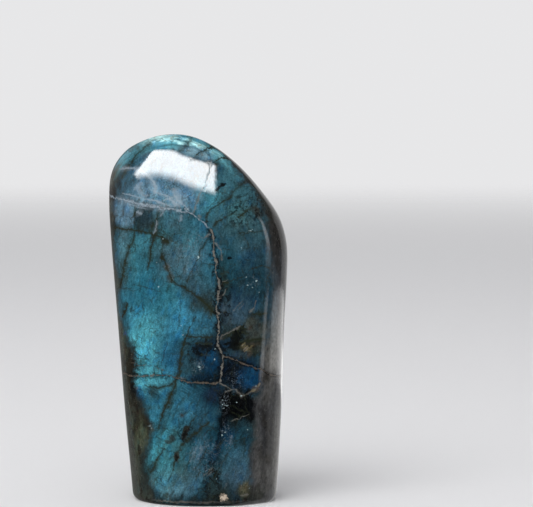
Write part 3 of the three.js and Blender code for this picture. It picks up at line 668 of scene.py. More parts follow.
# Where the left rind ends, z and x, and where the show face turns into the right flank
LEFT_RIND = (
    (0, -13.6), (3, -14.5), (7, -15), (11, -16.4), (13, -15.6), (16, -15), (19, -14.4), (22, -13),
    (24.5, -13.8), (27, -15.8), (31.5, -16.8), (34, -18), (36, -19.3), (40, -19.8), (42.5, -18.9),
    (46, -19.5), (50, -20.7), (54, -22.4), (58, -23.6), (66, -24.4), (80, -25.5), (90, -25.9),
    (100, -24.6), (106, -26),
)
RIGHT_CREST = (
    (0, 15.3), (5.5, 15.6), (14, 16.2), (23, 16.8), (32, 17.4), (40, 18.6), (50, 20), (61.5, 21.5),
    (76, 21.4), (84.5, 20.6), (90, 18.3), (94, 15.9), (98.5, 12.1), (102, 8.9), (106, 6.4),
)

# What the back has, in the same terms
BACK_PATCHES = (
    ("rind", 0.7, 0, 30, 26, 26, 0.4), ("dim", 0.95, 2, 66, 14, 26, 0.25, 8),
    ("teal", 0.95, 5, 70, 8, 17, 0.35, 10), ("bright", 0.85, 6, 66, 4.4, 10, 0.5, 12),
    ("core", 0.5, 6.8, 61, 2.4, 5.5, 0.8, 12), ("teal", 0.7, -4.6, 55, 3.2, 7, 0.7, 14),
    ("navy", 0.8, -13, 62, 5, 15, 0.6, 4), ("blue", 0.6, -10, 70, 3, 8, 0.8, 10),
    ("slate", 0.7, -6, 94, 9, 6), ("lilac", 0.6, -12, 38, 8, 9),
    ("deep", 0.8, 9, 26, 8, 12, 0.5, 12), ("teal", 0.9, 8, 24, 4.4, 9, 0.4, 14),
    ("bright", 0.6, 7.4, 22, 2.2, 6, 0.8, 14), ("haze", 0.4, -7, 98, 8, 3.6),
    ("night", 0.9, -2, 46, 4.4, 2.2, 0.5, -20), ("night", 0.8, 14, 45, 2.6, 1.6, 0.5, 10),
    ("umber", 0.7, -12, 84, 2, 1.2, 0.6, 20), ("rust", 0.5, 15, 58, 1.2, 3, 0.7, 8),
    ("olive", 0.7, -6, 12, 6, 5, 0.7), ("night", 0.8, 4, 12, 1, 1.8, 0.5, 10),
)
BACK_LINES = (
    (-14, 96, -18, 78, 0.7, 0.8, 0.5), (-8, 98, -12, 82, 0.5, 0.7, 0.4),
    (8, 92, 3, 70, 0.7, 0.85, 0.6), (14, 84, 9, 62, 0.5, 0.7, 0.5),
    (-4, 78, -9, 56, 0.6, 0.8, 0.5), (3, 62, -3, 44, 0.7, 0.85, 0.4),
    (16, 60, 11, 40, 0.5, 0.7, 0.4), (-14, 52, -18, 36, 0.6, 0.8, 0.4),
    (9, 38, 3, 20, 0.7, 0.85, 0.4), (-3, 32, -9, 12, 0.6, 0.8, 0.5),
    (15, 30, 10, 8, 0.5, 0.7, 0.5), (-20, 66, -9, 61, 0.5, 0.8, 0.6),
    (-8, 62, 6, 55, 0.8, 0.85, 0.8), (7, 82, 19, 79, 0.5, 0.7, 0.4),
    (0, 24, 12, 16, 0.5, 0.7, 0.4),
)

# What the sides have over their rinds, in the same terms
LEFT_PATCHES = (
    ("night", 0.9, -25.2, 92.4, 1, 2.2, 0.5, 10), ("night", 0.7, -24.8, 82.9, 1, 1.2),
    ("olive_rind", 0.8, -16.4, 22, 2.4, 6.5, 0.5, 10), ("olive_rind", 0.6, -21.6, 60, 2, 12),
    ("umber", 0.8, -14.6, 25.4, 1.5, 2.6, 0.4, 20),
    ("umber", 0.85, -14.8, 14.2, 0.8, 2.4, 0.5, -14), ("umber", 0.7, -17.8, 27, 1, 6, 0.5, 8),
    # the two spark patches below are painted glints on the left rind
    ("spark", 0.7, -14.2, 24, 0.4, 0.3), ("spark", 0.5, -13.7, 23.2, 0.22, 0.2),
    ("umber", 0.85, -19.4, 42, 1.6, 12, 0.6, -4), ("night", 0.7, -19.2, 36, 1.2, 5, 0.7),
    ("umber", 0.8, -16.8, 12.6, 0.7, 1.4), ("umber", 0.6, -14.6, 26.4, 1.6, 2.6, 0.7),
    ("body", 0.6, -15.6, 10, 1.4, 8, 0.7),
)
RIGHT_PATCHES = (
    # the pale patch at x 22.6, z 46.4 is painted reflection of the bright table on the right, laid
    # in the colour of the healed fractures over the flank's grey
    ("umber", 0.6, 23, 80, 2.4, 10), ("healed", 0.7, 22.6, 46.4, 3, 9),
    ("slate", 0.35, 22, 60, 1.6, 10, 0.8), ("healed", 0.22, 17.6, 17, 1.3, 16, 0.7, -2),
    ("umber", 0.5, 20.6, 20, 1.7, 13, 0.7, -2), ("healed", 0.5, 23.6, 14, 1.2, 14, 0.7),
    ("healed", 0.25, 20.4, 34, 2.2, 4, 0.7), ("healed", 0.25, 20.4, 8, 3.4, 6, 0.7),
    ("umber", 0.7, 21.6, 38.6, 2.4, 1.4, 0.6, -24), ("umber", 0.6, 21, 13, 0.8, 1.8, 0.7),
    ("olive", 0.6, 17, 92, 3.5, 8, 0.6, -36), ("olive", 0.5, 17.4, 3, 3, 2.4),
)

# How the healed fractures lean as they go through the stone, in millimetres per millimetre,
# and how far back that starts
THROUGH_LEAN = (0.3, 0.0, -0.16)
THROUGH_FROM = -6.0

# Patches smaller than this keep their place, larger ones have torn edges
SMALL_PATCH = 1.65

# Lines at least this wide have a stain beside them
STAINING_WIDTH = 0.5

# How the fibres of the feldspar lean to the right, in degrees: at the head, below the lower
# healed fracture, along torn edges and in blots, and in the rinds
HEAD_LEAN = 10
LOW_LEAN = 28
TORN_LEAN = 14
RIND_LEAN = 8

# The fibres change their lean between these heights
LOW_FROM, LOW_TO = 38, 30

# Where the rinds fade under the crown, where the right end of the crown's belt fades, and how
# deep the belt is, in millimetres
UNDER_CROWN = (104, 98)
BELT_END = (12, 7)
BELT_DEPTH = (4.6, 2.8)

# How far back the show face gives way to the back
BACK_FADE = (0.5, 9.0)

# The small blots of mottled feldspar: scale of the noise, the levels between which a blot fades
# in, how strong it is, and how many times as much red, green and blue it has
DRIFTS = (
    (0.42, 0.50, 0.66, 0.55, (0.45, 0.80, 1.12)),
    (0.60, 0.53, 0.68, 0.65, (0.75, 0.45, 0.34)),
    (0.85, 0.56, 0.70, 0.50, (2.0, 1.35, 1.25)),
)

# The faint parallel cleavage of the show face: lean, scale across it, and strength
CLEAVAGES = ((11, 0.5, 0.5), (16, 0.9, 0.4), (-62, 0.3, 0.3))

# The bare spot of pale matrix, as a patch
CHIP = (7.6, 2.75, 1.1, 0.95, 0.25)


def shaken(pattern, place, scale, reach, stretch=(1, 1, 1)):
    """An offset of up to reach / 2 millimetres either way, from noise."""
    field = pattern.noise(pattern.vector("MULTIPLY", place, stretch), scale, 3.0, 0.6, output=1)
    channels = pattern.tree.nodes.new("ShaderNodeSeparateColor")
    pattern.feed(channels.inputs[0], field)
    field = pattern.join(*channels.outputs)
    return pattern.vector("SCALE", pattern.vector("SUBTRACT", field, (0.5, 0.5, 0.5)), scale=reach)


class Ground:
    """The places and the noise that all markings share, in millimetres."""

    def __init__(self, pattern, place):
        self.place = place
        self.x, self.y, self.z = pattern.split(place)
        past = pattern.math("MAXIMUM", pattern.minus(self.y, THROUGH_FROM), 0.0)
        lean = pattern.vector("SCALE", THROUGH_LEAN, scale=past)
        flat = pattern.flat(pattern.vector("ADD", place, lean))
        push = shaken(pattern, place, 0.11, 5.0)
        self.warped = pattern.vector("ADD", place, push)
        self.ragged = self.torn(pattern, pattern.vector("ADD", flat, push))
        self.uneven = self.shivering(pattern, flat)
        fray = pattern.noise(self.warped, 1.5, 4.0, 0.65)
        self.fray = pattern.times(pattern.minus(fray, 0.5), 3.4)

    def torn(self, pattern, pushed):
        """The place pushed about, so that patch edges come out torn along the fibres."""
        tear = shaken(pattern, pattern.fibres(self.warped, TORN_LEAN), 0.8, 3.6, (1, 0.5, 0.22))
        tear = pattern.vector("MULTIPLY", tear, (0.6, 0, 1.5))
        crumb = shaken(pattern, self.warped, 0.9, 1.6)
        moved = pattern.vector("ADD", pushed, pattern.vector("ADD", tear, crumb))
        return pattern.flat(moved)

    def shivering(self, pattern, flat):
        """The flat place with a small shiver, so that cracks run unevenly."""
        wide = shaken(pattern, self.warped, 0.3, 1.3)
        fine = shaken(pattern, self.warped, 0.95, 1.25)
        moved = pattern.vector("ADD", flat, pattern.vector("ADD", wide, fine))
        return pattern.flat(moved)


class GroupGround:
    """The shared places and noise as the inputs of a node group."""

    def __init__(self, given):
        self.ragged, self.uneven, self.fray = given["Ragged"], given["Uneven"], given["Fray"]


# Marks in one node group. Small node trees are built much faster than one large tree.
MARKS_IN_A_GROUP = 24
LAYER_INPUTS = (
    ("Colour", "NodeSocketVector"), ("Ragged", "NodeSocketVector"),
    ("Uneven", "NodeSocketVector"), ("Fray", "NodeSocketFloat"))


class Painting:
    """A colour that markings are laid over, one after the other."""

    def __init__(self, pattern, marks, ground, paint, colour):
        self.pattern = pattern
        self.marks = marks
        self.ground = ground
        self.paint = paint
        self.colour = colour

    def fresh(self, name):
        """A painting of the same ground in one colour."""
        return Painting(self.pattern, self.marks, self.ground, self.paint, self.paint[name])

    def cover(self, share, colour):
        self.colour = self.pattern.mix(share, self.colour, colour)

    def lay(self, name, mask, strength=1.0):
        self.cover(self.pattern.times(mask, strength), self.paint[name])

    def shade(self, factor):
        self.colour = self.pattern.vector("SCALE", self.colour, scale=factor)

    def tint(self, mask, multiplier):
        self.cover(mask, self.pattern.vector("MULTIPLY", self.colour, multiplier))

    def lay_patches(self, patches):
        self.lay_grouped("Patches", patches, Painting.lay_patch)

    def lay_lines(self, lines):
        self.lay_grouped("Lines", lines, Painting.lay_line)

    def lay_patch(self, patch):
        name, strength, *shape = patch
        small = min(shape[2:4]) < SMALL_PATCH
        place = self.ground.uneven if small else self.ground.ragged
        self.lay(name, self.marks.patch(place, *shape), strength)

    def lay_line(self, line):
        name, *ends, width, cover = line[:7]
        self.lay(name, self.marks.line(self.ground, *ends, width, *line[7:]), cover)

    def lay_tones(self, tones):
        self.lay_grouped("Tones", tones, Painting.lay_tone)

    def lay_tone(self, tone):
        multiplier, *shape = tone
        self.tint(self.marks.patch(self.ground.ragged, *shape), multiplier)

    def lay_grouped(self, title, rows, lay_row):
        for first in range(0, len(rows), MARKS_IN_A_GROUP):
            self.lay_group(title, rows[first:first + MARKS_IN_A_GROUP], lay_row)

    def lay_group(self, title, rows, lay_row):
        group, pattern, given, result = group_with(
            title, LAYER_INPUTS, "Colour", "NodeSocketVector")
        marks = self.marks.inside(pattern)
        layer = Painting(pattern, marks, GroupGround(given), self.paint, given["Colour"])
        for row in rows:
            lay_row(layer, row)
        pattern.feed(result, layer.colour)
        values = (self.colour, self.ground.ragged, self.ground.uneven, self.ground.fray)
        self.colour = self.pattern.group(group, values)

    def crowd(self, crowds):
        """1 in the middle of the places given, fading to 0 around them."""
        mask = 0.0
        for x, z, half_width, half_height in crowds:
            near = self.marks.patch(self.ground.ragged, x, z, half_width, half_height)
            mask = self.pattern.math("MAXIMUM", mask, near)
        return mask


def silk(pattern, ground):
    """Brightness of the feldspar: fibres, blotches and fine grain about 1."""
    upper = pattern.fibres(ground.place, HEAD_LEAN, (1.0, 0.5, 0.42))
    lower = pattern.fibres(ground.place, LOW_LEAN, (1.0, 0.5, 0.42))
    low = pattern.remap(ground.z, LOW_FROM, LOW_TO)
    along = pattern.mix(low, upper, lower)
    fibres = pattern.spread(pattern.noise(along, 1.5, 5.0, 0.66), 0.62, 1.42)
    blotches = pattern.noise(pattern.vector("MULTIPLY", along, (1, 1, 1.4)), 0.34, 4.0, 0.6)
    blotches = pattern.spread(blotches, 0.66, 1.36)
    grain = pattern.spread(pattern.noise(ground.place, 2.7, 2.0, 0.6), 0.66, 1.34)
    return pattern.times(pattern.times(fibres, blotches), grain)


def mottle(painting):
    """Drifts the colour towards blue, towards olive and towards milk in small blots."""
    pattern, place = painting.pattern, painting.ground.place
    along = pattern.fibres(place, TORN_LEAN, (1.0, 0.6, 0.55))
    for scale, low, high, strength, multiplier in DRIFTS:
        moved = pattern.vector("ADD", along, (17.0 * scale, 0, 5.0))
        mask = pattern.remap(pattern.noise(moved, scale, 4.0, 0.62), low, high)
        painting.tint(pattern.times(mask, strength), multiplier)


def crack_net(pattern, place, scale, width):
    """Thin lines between uneven cells."""
    inputs = {"Vector": place, "Scale": scale}
    away = pattern.add("ShaderNodeTexVoronoi", inputs, "Distance", feature="DISTANCE_TO_EDGE")
    return pattern.remap(away, width, width * 0.3)


def specks(pattern, place, scale, low, high):
    return pattern.remap(pattern.noise(place, scale, 3.0, 0.55), low, high)


def lay_specks(painting):
    """Pale and black specks, crowded in places, and the finest cracks."""
    pattern, place = painting.pattern, painting.ground.place
    shifted = pattern.vector("ADD", place, shaken(pattern, place, 0.55, 2.6))
    pale = painting.crowd(PALE_CROWDS)
    dark = painting.crowd(DARK_CROWDS)
    sparse = pattern.remap(pattern.noise(place, 0.16, 2.0, 0.5), 0.45, 0.6)
    net = crack_net(pattern, shifted, 0.2, 0.035)
    painting.lay("olive", pattern.times(net, sparse), 0.6)
    fine_net = crack_net(pattern, shifted, 0.62, 0.05)
    painting.lay("milk", pattern.times(fine_net, pale), 0.16)
    painting.lay("milk", pattern.times(specks(pattern, place, 1.9, 0.59, 0.68), pale), 0.34)
    painting.lay("night", pattern.times(specks(pattern, shifted, 0.9, 0.5, 0.6), dark), 0.8)
    painting.lay("night", specks(pattern, shifted, 1.1, 0.66, 0.74), 0.5)
    painting.lay("milk", specks(pattern, place, 2.1, 0.70, 0.80), 0.4)


def cleavage(pattern, place, lean, scale, strength):
    """Faint dark lines in parallel, where stretched noise crosses its middle value."""
    along = pattern.fibres(place, lean, (1.0, 0.6, 0.07))
    level = pattern.noise(along, scale, 2.0, 0.5)
    away = pattern.math("ABSOLUTE", pattern.minus(level, 0.5))
    patches = pattern.remap(pattern.noise(place, 0.13, 2.0, 0.5), 0.46, 0.6)
    return pattern.times(pattern.times(pattern.remap(away, 0.012, 0.0), patches), strength)


def lay_crown(painting):
    """The flash that follows the rim of the crown in streaks, brightened into painted sheen, and
    painted shade along the rim on the right. Gives where the belt is.
    """
    pattern, ground = painting.pattern, painting.ground
    x, z = ground.x, ground.z
    depth = pattern.minus(pattern.curve(x, CROWN_RIM), z)
    belt = pattern.times(pattern.remap(depth, *BELT_DEPTH), pattern.remap(x, *BELT_END))
    streaked = pattern.join(pattern.times(x, 0.09), 0, depth)
    streaks = pattern.noise(streaked, 0.9, 4.0, 0.6)
    painting.lay("belt", belt)
    painting.lay_patches(CROWN_STREAKS)
    bands = pattern.remap(streaks, 0.36, 0.64, 0.5, 1.5, smooth=False)
    painting.cover(belt, pattern.vector("SCALE", painting.colour, scale=bands))
    # painted shade: a dark band along the crown's rim, from x 1 mm rightwards, where the crown
    # turns away
    rim_shade = pattern.times(pattern.remap(depth, 0.95, 0.4), pattern.remap(x, 1, 6))
    painting.lay("night", rim_shade, 0.75)
    return belt


# Painted glints, laid as small pale patches
def spark_patches():
    return [("spark", 0.85, x, z, 0.55 * half, 0.5 * half) for x, z, half in FACE_SPARKS]


def named(name, lines):
    return [(name, *line) for line in lines]


def stains_along(lines):
    """A broad faint stain beside each of the wider lines."""
    return scaled("olive", [line for line in lines if line[4] >= STAINING_WIDTH], 3.2, 0.42)


def scaled(name, lines, wider, stronger):
    """The lines in one colour, so many times as wide and as strong."""
    rows = []
    for line in lines:
        *ends, width, cover = line[:6]
        rows.append((name, *ends, wider * width, stronger * cover, *line[6:]))
    return rows


def show_face(painting):
    """The broad face that flashes, up to the rinds on either side."""
    pattern, ground = painting.pattern, painting.ground
    painting.lay_patches(FACE_PATCHES)
    painting.lay_tones(FACE_TONES)
    belt = lay_crown(painting)
    mottle(painting)
    calm = pattern.times(belt, 0.65)
    grain = pattern.minus(silk(pattern, ground), 1.0)
    grain = pattern.times(grain, pattern.minus(1.0, calm))
    painting.shade(pattern.plus(grain, 1.04))
    lay_specks(painting)
    for row in CLEAVAGES:
        painting.lay("olive", cleavage(pattern, ground.place, *row))
    painting.lay_lines(stains_along(FACE_LINES))
    painting.lay_lines(named("olive", FACE_LINES))
    painting.lay_lines(named("milk", FACE_VEILS))
    painting.lay_lines(scaled("healed", FACE_HAIRS, 0.66, 0.85))
    painting.lay_patches(spark_patches())


def weathered(painting, stained):
    """The uneven grey and olive of a rind: streaks, stains and pale grains."""
    pattern, place = painting.pattern, painting.ground.place
    along = pattern.fibres(place, RIND_LEAN, (1, 1, 0.5))
    stains = pattern.remap(pattern.noise(along, 0.42, 4.0, 0.65), 0.46, 0.6)
    painting.lay("umber", stains, stained)
    painting.shade(pattern.spread(pattern.noise(along, 1.4, 5.0, 0.66), 0.58, 1.42))
    painting.lay("healed", specks(pattern, place, 1.5, 0.62, 0.74), 0.45)
    painting.lay("night", specks(pattern, along, 0.8, 0.62, 0.72), 0.5)


def lay_sides(painting):
    """The rinds that don't flash: olive on the left, grey on the right."""
    pattern, ground = painting.pattern, painting.ground
    x, _, z = pattern.split(ground.uneven)
    left = painting.fresh("rind")
    left.lay_patches(LEFT_PATCHES)
    mottle(left)
    weathered(left, 0.7)
    right = painting.fresh("flank")
    right.lay_patches(RIGHT_PATCHES)
    weathered(right, 0.35)
    ragged_x, _, ragged_z = pattern.split(ground.ragged)
    reach = pattern.minus(pattern.curve(ragged_z, LEFT_RIND), ragged_x)
    below_crown = pattern.remap(ground.z, *UNDER_CROWN)
    stain = pattern.times(pattern.remap(reach, -2.4, -0.2), below_crown)
    painting.lay("umber", stain, 0.6)
    side = pattern.times(pattern.remap(ground.y, -7.5, -4.5), pattern.remap(x, 0, -10))
    mask = pattern.math("MAXIMUM", pattern.remap(reach, -1.0, 1.2), side)
    mask = pattern.times(mask, below_crown)
    painting.cover(mask, left.colour)
    past = pattern.minus(ragged_x, pattern.curve(z, RIGHT_CREST))
    crest = pattern.remap(past, -0.8, 1.4)
    painting.cover(crest, right.colour)


def lay_back(painting):
    """The back, which is duller than the show face."""
    pattern, ground = painting.pattern, painting.ground
    back = painting.fresh("body")
    back.lay_patches(BACK_PATCHES)
    mottle(back)
    back.shade(silk(pattern, ground))
    back.lay_lines(named("olive", BACK_LINES))
    edge = pattern.plus(ground.y, pattern.times(ground.fray, 1.5))
    painting.cover(pattern.remap(edge, *BACK_FADE), back.colour)


def healed_seam(pattern, ground, along, across, points, width):
    """A seam along a drawn line: its ragged core, and the dark that borders it."""
    aside = pattern.math("ABSOLUTE", pattern.minus(across, pattern.curve(along, points)))
    near = pattern.plus(pattern.math("DIVIDE", aside, width), ground.fray)
    starts = pattern.remap(along, points[0][0], points[0][0] + 1.0)
    ends = pattern.remap(along, points[-1][0], points[-1][0] - 1.0)
    within = pattern.times(starts, ends)
    core = pattern.times(pattern.remap(near, 1.2, 0.4), within)
    border = pattern.times(pattern.remap(near, 5.4, 1.6), within)
    return core, border


def lay_seams(painting):
    """The healed fractures, which go through the whole stone. Gives how much is seam."""
    pattern, ground = painting.pattern, painting.ground
    x, _, z = pattern.split(ground.uneven)
    swing = pattern.remap(pattern.noise(ground.place, 0.5, 3.0, 0.6), 0.3, 0.7, 0.3, 1.7)
    grains = pattern.remap(pattern.noise(ground.place, 1.2, 3.0, 0.6), 0.34, 0.52)
    tone = pattern.remap(pattern.noise(ground.place, 1.7, 3.0, 0.6), 0.28, 0.54)
    # the colour of the filling, what it runs along, its line, width and strength, and how dark
    # the stone beside it is
    seams = (
        ("milk", x, z, UPPER_HEALED, 0.27, 0.7, 0.35),
        ("healed", z, x, DOWNWARD_HEALED, 0.28, 0.95, 0.85),
        ("tan", x, z, LOWER_HEALED, 0.22, 0.75, 0.7), ("tan", x, z, LOWER_TWIN, 0.15, 0.5, 0.5),
        ("tan", x, z, RIGHT_HEALED, 0.19, 0.7, 0.85),
    )
    all_cores = 0.0
    for name, along, across, points, width, strength, darkness in seams:
        width = pattern.times(swing, width)
        core, border = healed_seam(pattern, ground, along, across, points, width)
        painting.lay("night", pattern.times(border, grains), darkness)
        filling = pattern.mix(tone, painting.paint["dark_filling"], painting.paint[name])
        core = pattern.times(core, strength)
        painting.cover(core, filling)
        all_cores = pattern.math("MAXIMUM", all_cores, core)
    return all_cores


def open_cracks(painting):
    """How deep the open hair cracks of the crown are."""
    pattern, ground = painting.pattern, painting.ground
    depth = 0.0
    for line in OPEN_CRACKS:
        *ends, width, share = line[:6]
        crack = painting.marks.line(ground, *ends, width, *line[6:])
        depth = pattern.math("MAXIMUM", depth, pattern.times(crack, CRACK_DEPTH * share))
    return pattern.times(depth, pattern.remap(ground.y, 0, -4))


def lay_chip(painting):
    """The bare spot of pale matrix at the foot of the show face."""
    pattern, ground = painting.pattern, painting.ground
    rough = pattern.vector("ADD", ground.uneven, shaken(pattern, ground.place, 0.9, 2.2))
    rough = pattern.flat(rough)
    front = pattern.remap(ground.y, -6, -9)
    chip = pattern.times(painting.marks.patch(rough, *CHIP), front)
    painting.lay("chip", chip)
    grit = specks(pattern, ground.place, 1.4, 0.5, 0.58)
    painting.lay("umber", pattern.times(grit, chip), 0.75)


# Dull feldspar under a clear polish, and the unevenness of the polish (Distance in metres)
POLISHED_FELDSPAR = {
    "Roughness": 0.5, "Specular IOR Level": 0.0, "IOR": 1.56,
    "Coat Weight": 1.0, "Coat Roughness": 0.03, "Coat IOR": 1.56,
}
RELIEF = {"Strength": 0.1, "Distance": 0.0001}
POLISH_RIPPLE = 0.2


def labradorite(settings):
    """Feldspar with a teal flash under a clear polish."""
    material, pattern, shader = new_material("polished_labradorite", POLISHED_FELDSPAR)
    object_place = pattern.add("ShaderNodeTexCoord", output="Object")
    ground = Ground(pattern, pattern.vector("SCALE", object_place, scale=METRE_IN_MM))
    paint = {name: tuple(getattr(settings, name)) for name in FlashSettings.__annotations__}

    painting = Painting(pattern, Marks(pattern, mark_groups()), ground, paint, paint["body"])
    show_face(painting)
    lay_sides(painting)
    lay_back(painting)
    seams = lay_seams(painting)
    lay_chip(painting)

    pattern.feed(shader.inputs["Base Color"], painting.colour)
    height = pattern.minus(pattern.times(ground.fray, POLISH_RIPPLE), seams)
    height = pattern.minus(height, open_cracks(painting))
    relief = pattern.add("ShaderNodeBump", {**RELIEF, "Height": height})
    pattern.feed(shader.inputs["Coat Normal"], relief)
    return material


# The stone

def merged_copy(node, name, settings):
    """A copy of a CAD node whose loose triangles are joined into four-sided cells."""
    deselect_all()
    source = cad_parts[node]
    source.select_set(True)
    bpy.context.view_layer.objects.active = source
    bpy.ops.object.duplicate()
    piece = as_piece(name)
    piece.parent = None
    for key in list(piece.keys()):
        del piece[key]
    bpy.ops.object.mode_set(mode="EDIT")
    bpy.ops.mesh.select_all(action="SELECT")
    bpy.ops.mesh.remove_doubles(threshold=settings.merge_distance)
    bpy.ops.mesh.tris_convert_to_quads(
        face_threshold=math.radians(60), shape_threshold=math.radians(60))
    bpy.ops.object.mode_set(mode="OBJECT")
    return piece


# How much the corners of the flat foot may differ in height, in metres
FOOT_FLATNESS = 0.0001


def crease_foot(piece, crease):
    """Creases the sawn edge, where the flat foot meets the sides."""
    mesh = piece.data
    level = min(vertex.co.z for vertex in mesh.vertices) + FOOT_FLATNESS
    attribute = mesh.attributes.new("crease_edge", "FLOAT", "EDGE")
    low = {vertex.index for vertex in mesh.vertices if vertex.co.z < level}
    flat = {polygon.index for polygon in mesh.polygons if low.issuperset(polygon.vertices)}
    count = {}
    for polygon in mesh.polygons:
        if polygon.index in flat:
            for key in polygon.edge_keys:
                count[key] = count.get(key, 0) + 1
    for edge in mesh.edges:
        if count.get(edge.key) == 1:
            attribute.data[edge.index].value = crease


class LABRADORITE_OT_stone(bpy.types.Operator):
    """Model the polished stone over its CAD solid and paint it"""
    bl_idname = "labradorite.stone"
    bl_label = "Stone"

    def execute(self, context):
        settings = context.scene.labradorite_stone
        piece = merged_copy(STONE_NODE, PIECE, settings)
        crease_foot(piece, settings.foot_crease)
        smooth = piece.modifiers.new("Smooth", "SUBSURF")
        smooth.levels = settings.smoothing_levels
        smooth.render_levels = settings.smoothing_levels
        bpy.ops.object.modifier_apply(modifier=smooth.name)
        bpy.ops.object.shade_smooth()
        piece.data.materials.clear()
        piece.data.materials.append(labradorite(context.scene.labradorite_flash))
        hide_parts(STONE_NODE)
        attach(piece, "root")
        return {"FINISHED"}


# The stage

# The window that the crown mirrors. Its plane is square to WINDOW_WAY, one metre from the
# crown, and its places are measured from there, rightwards and upwards, in metres. The pane
# glows between its lower and its upper edge.
WINDOW_FROM = Vector((0, 0, 0.1))
WINDOW_WAY = Vector((-0.1034, -0.4654, 0.8790))
WINDOW_RIGHT = Vector((0.9762, -0.2169, 0))
WINDOW_PANE = (
    (-0.90, 0.75), (-0.90, -0.65), (0.545, -0.65), (0.548, -0.43), (0.554, -0.19),
    (0.567, 0.05), (0.588, 0.28), (0.622, 0.58), (0.65, 0.75),
)
WINDOW_LOWER_EDGE = (
    (-0.80, -0.22), (-0.67, -0.36), (-0.43, -0.367), (-0.25, -0.353), (-0.05, -0.376),
    (0.07, -0.416), (0.17, -0.476), (0.25, -0.51), (0.37, -0.495), (0.46, -0.47), (0.62, -0.43),
)
WINDOW_UPPER_EDGE = (
    (-0.80, -0.26), (-0.56, -0.16), (-0.42, 0.046), (-0.346, 0.29), (-0.165, 0.241),
    (0.0, 0.215), (0.154, 0.177), (0.314, 0.203), (0.50, 0.38), (0.64, 0.62),
)
LOWER_SOFTNESS = 0.13
UPPER_SOFTNESS = 0.075
WINDOW_GLOW = 17.0

# What the polish mirrors all round, as soft-edged fields of the room: from and to azimuth in
# degrees (0 is the front, 90 the right), from and to elevation in degrees, and brightness
MIRRORED_FIELDS = (
    ("room behind, right", 114, 200, -80, 22, 0.5),
    ("room behind, left", -200, -112, -80, 80, 0.16),
    ("low table, right", 76, 116, -80, -10, 0.5),
    ("bright table, right", 79, 172, -8.2, -6.6, 1.5),
    ("lamp, right, high", 54, 63, 5, 24, 2.2),
    ("lamp, right, middle", 50, 64, -3, 5, 0.7),
    ("lamp, right, low", 54, 62, -7.6, -5.2, 1.5),
    ("lit wall, left", -150, -62, 1, 40, 0.31),
)
FIELD_EDGE = 4.0
DARK_ROOM = 0.02

# The light that reaches all else than the eye and the polish, and the soft lamp: its place, what
# it points at, its size in metres and its power in watts
FILL_LIGHT = (0.60, 0.60, 0.61, 1)
SOFT_KEY = ((-0.7, -0.9, 1.4), (0, 0, 0.06), 1.5, 16.0)


def area_light(name, location, target, size, power):
    """A soft light that the polish doesn't mirror."""
    deselect_all()
    bpy.ops.object.light_add(type="AREA", location=location)
    light = bpy.context.object
    light.name = name
    light.data.shape = "DISK"
    light.data.size = size
    light.data.energy = power
    light.rotation_euler = (Vector(target) - Vector(location)).to_track_quat("-Z", "Y").to_euler()
    light.visible_glossy = False
    return light


# The table is matt, and fades from so many metres out to this share of its radius
MATT = {"Roughness": 0.9, "Specular IOR Level": 0.2}
FADE_FROM = 0.6
FADE_TO = 0.95


def table_material(settings):
    """Matt and pale, and fading into the room far away so that no horizon shows."""
    values = {"Base Color": (*settings.table_colour, 1), **MATT}
    material, pattern, shader = new_material("table_matt", values)
    place = pattern.add("ShaderNodeTexCoord", output="Object")
    reach = pattern.vector("LENGTH", place)
    fade = pattern.remap(reach, FADE_FROM, settings.table_radius * FADE_TO)
    clear = pattern.add("ShaderNodeBsdfTransparent")
    mixed = pattern.add("ShaderNodeMixShader", {0: fade, 1: shader.outputs[0], 2: clear})
    give_surface(pattern, mixed)
    return material


def build_table(settings):
    deselect_all()
    bpy.ops.mesh.primitive_circle_add(
        vertices=96, radius=settings.table_radius, fill_type="NGON", location=(0, 0, 0))
    table = as_piece("pale_table")
    table.data.materials.append(table_material(settings))
    table.visible_glossy = False
    return table


def window_glow():
    """A pane that glows between two drawn edges, and softly ends there."""
    material, pattern, _ = new_material("window_glow", {})
    place = pattern.add("ShaderNodeTexCoord", output="Object")
    place = pattern.vector("SUBTRACT", place, WINDOW_FROM + WINDOW_WAY)
    across = pattern.dot(place, WINDOW_RIGHT)
    rise = pattern.dot(place, WINDOW_WAY.cross(WINDOW_RIGHT))
    curtain = pattern.noise(pattern.vector("MULTIPLY", place, (30, 30, 4)), 1.0, 3.0, 0.6)
    curtain = pattern.times(pattern.minus(curtain, 0.5), 0.12)
    above = pattern.minus(rise, pattern.curve(across, WINDOW_LOWER_EDGE))
    above = pattern.plus(above, curtain)
    below = pattern.minus(pattern.curve(across, WINDOW_UPPER_EDGE), rise)
    above = pattern.remap(above, -LOWER_SOFTNESS, LOWER_SOFTNESS)
    below = pattern.remap(below, -UPPER_SOFTNESS, UPPER_SOFTNESS)
    strength = pattern.times(pattern.times(above, below), WINDOW_GLOW)
    glow = pattern.add("ShaderNodeEmission", {"Color": (1, 1, 1, 1), "Strength": strength})
    give_surface(pattern, glow)
    return material


def build_window():
    """A bright window that lights nothing and is only mirrored by the polish."""
    deselect_all()
    bpy.ops.mesh.primitive_circle_add(
        vertices=len(WINDOW_PANE), radius=1, fill_type="NGON", location=(0, 0, 0))
    window = as_piece("mirrored_window")
    up = WINDOW_WAY.cross(WINDOW_RIGHT)
    for vertex, (across, rise) in zip(window.data.vertices, WINDOW_PANE):
        vertex.co = WINDOW_FROM + WINDOW_WAY + WINDOW_RIGHT * across + up * rise
    window.data.materials.append(window_glow())
    window.visible_camera = False
    window.visible_diffuse = False
    window.visible_shadow = False


def build_camera(settings):
    location = (settings.camera_side, -settings.camera_distance, settings.camera_height)
    rotation = (math.pi / 2 - settings.camera_pitch, 0, 0)
    bpy.ops.object.camera_add(location=location, rotation=rotation)
    camera = bpy.context.object
    camera.name = "photo_camera"
    camera.data.lens = settings.focal_px / PHOTO_WIDTH_PX * camera.data.sensor_width
    camera.data.clip_start = 0.01
    bpy.context.scene.camera = camera


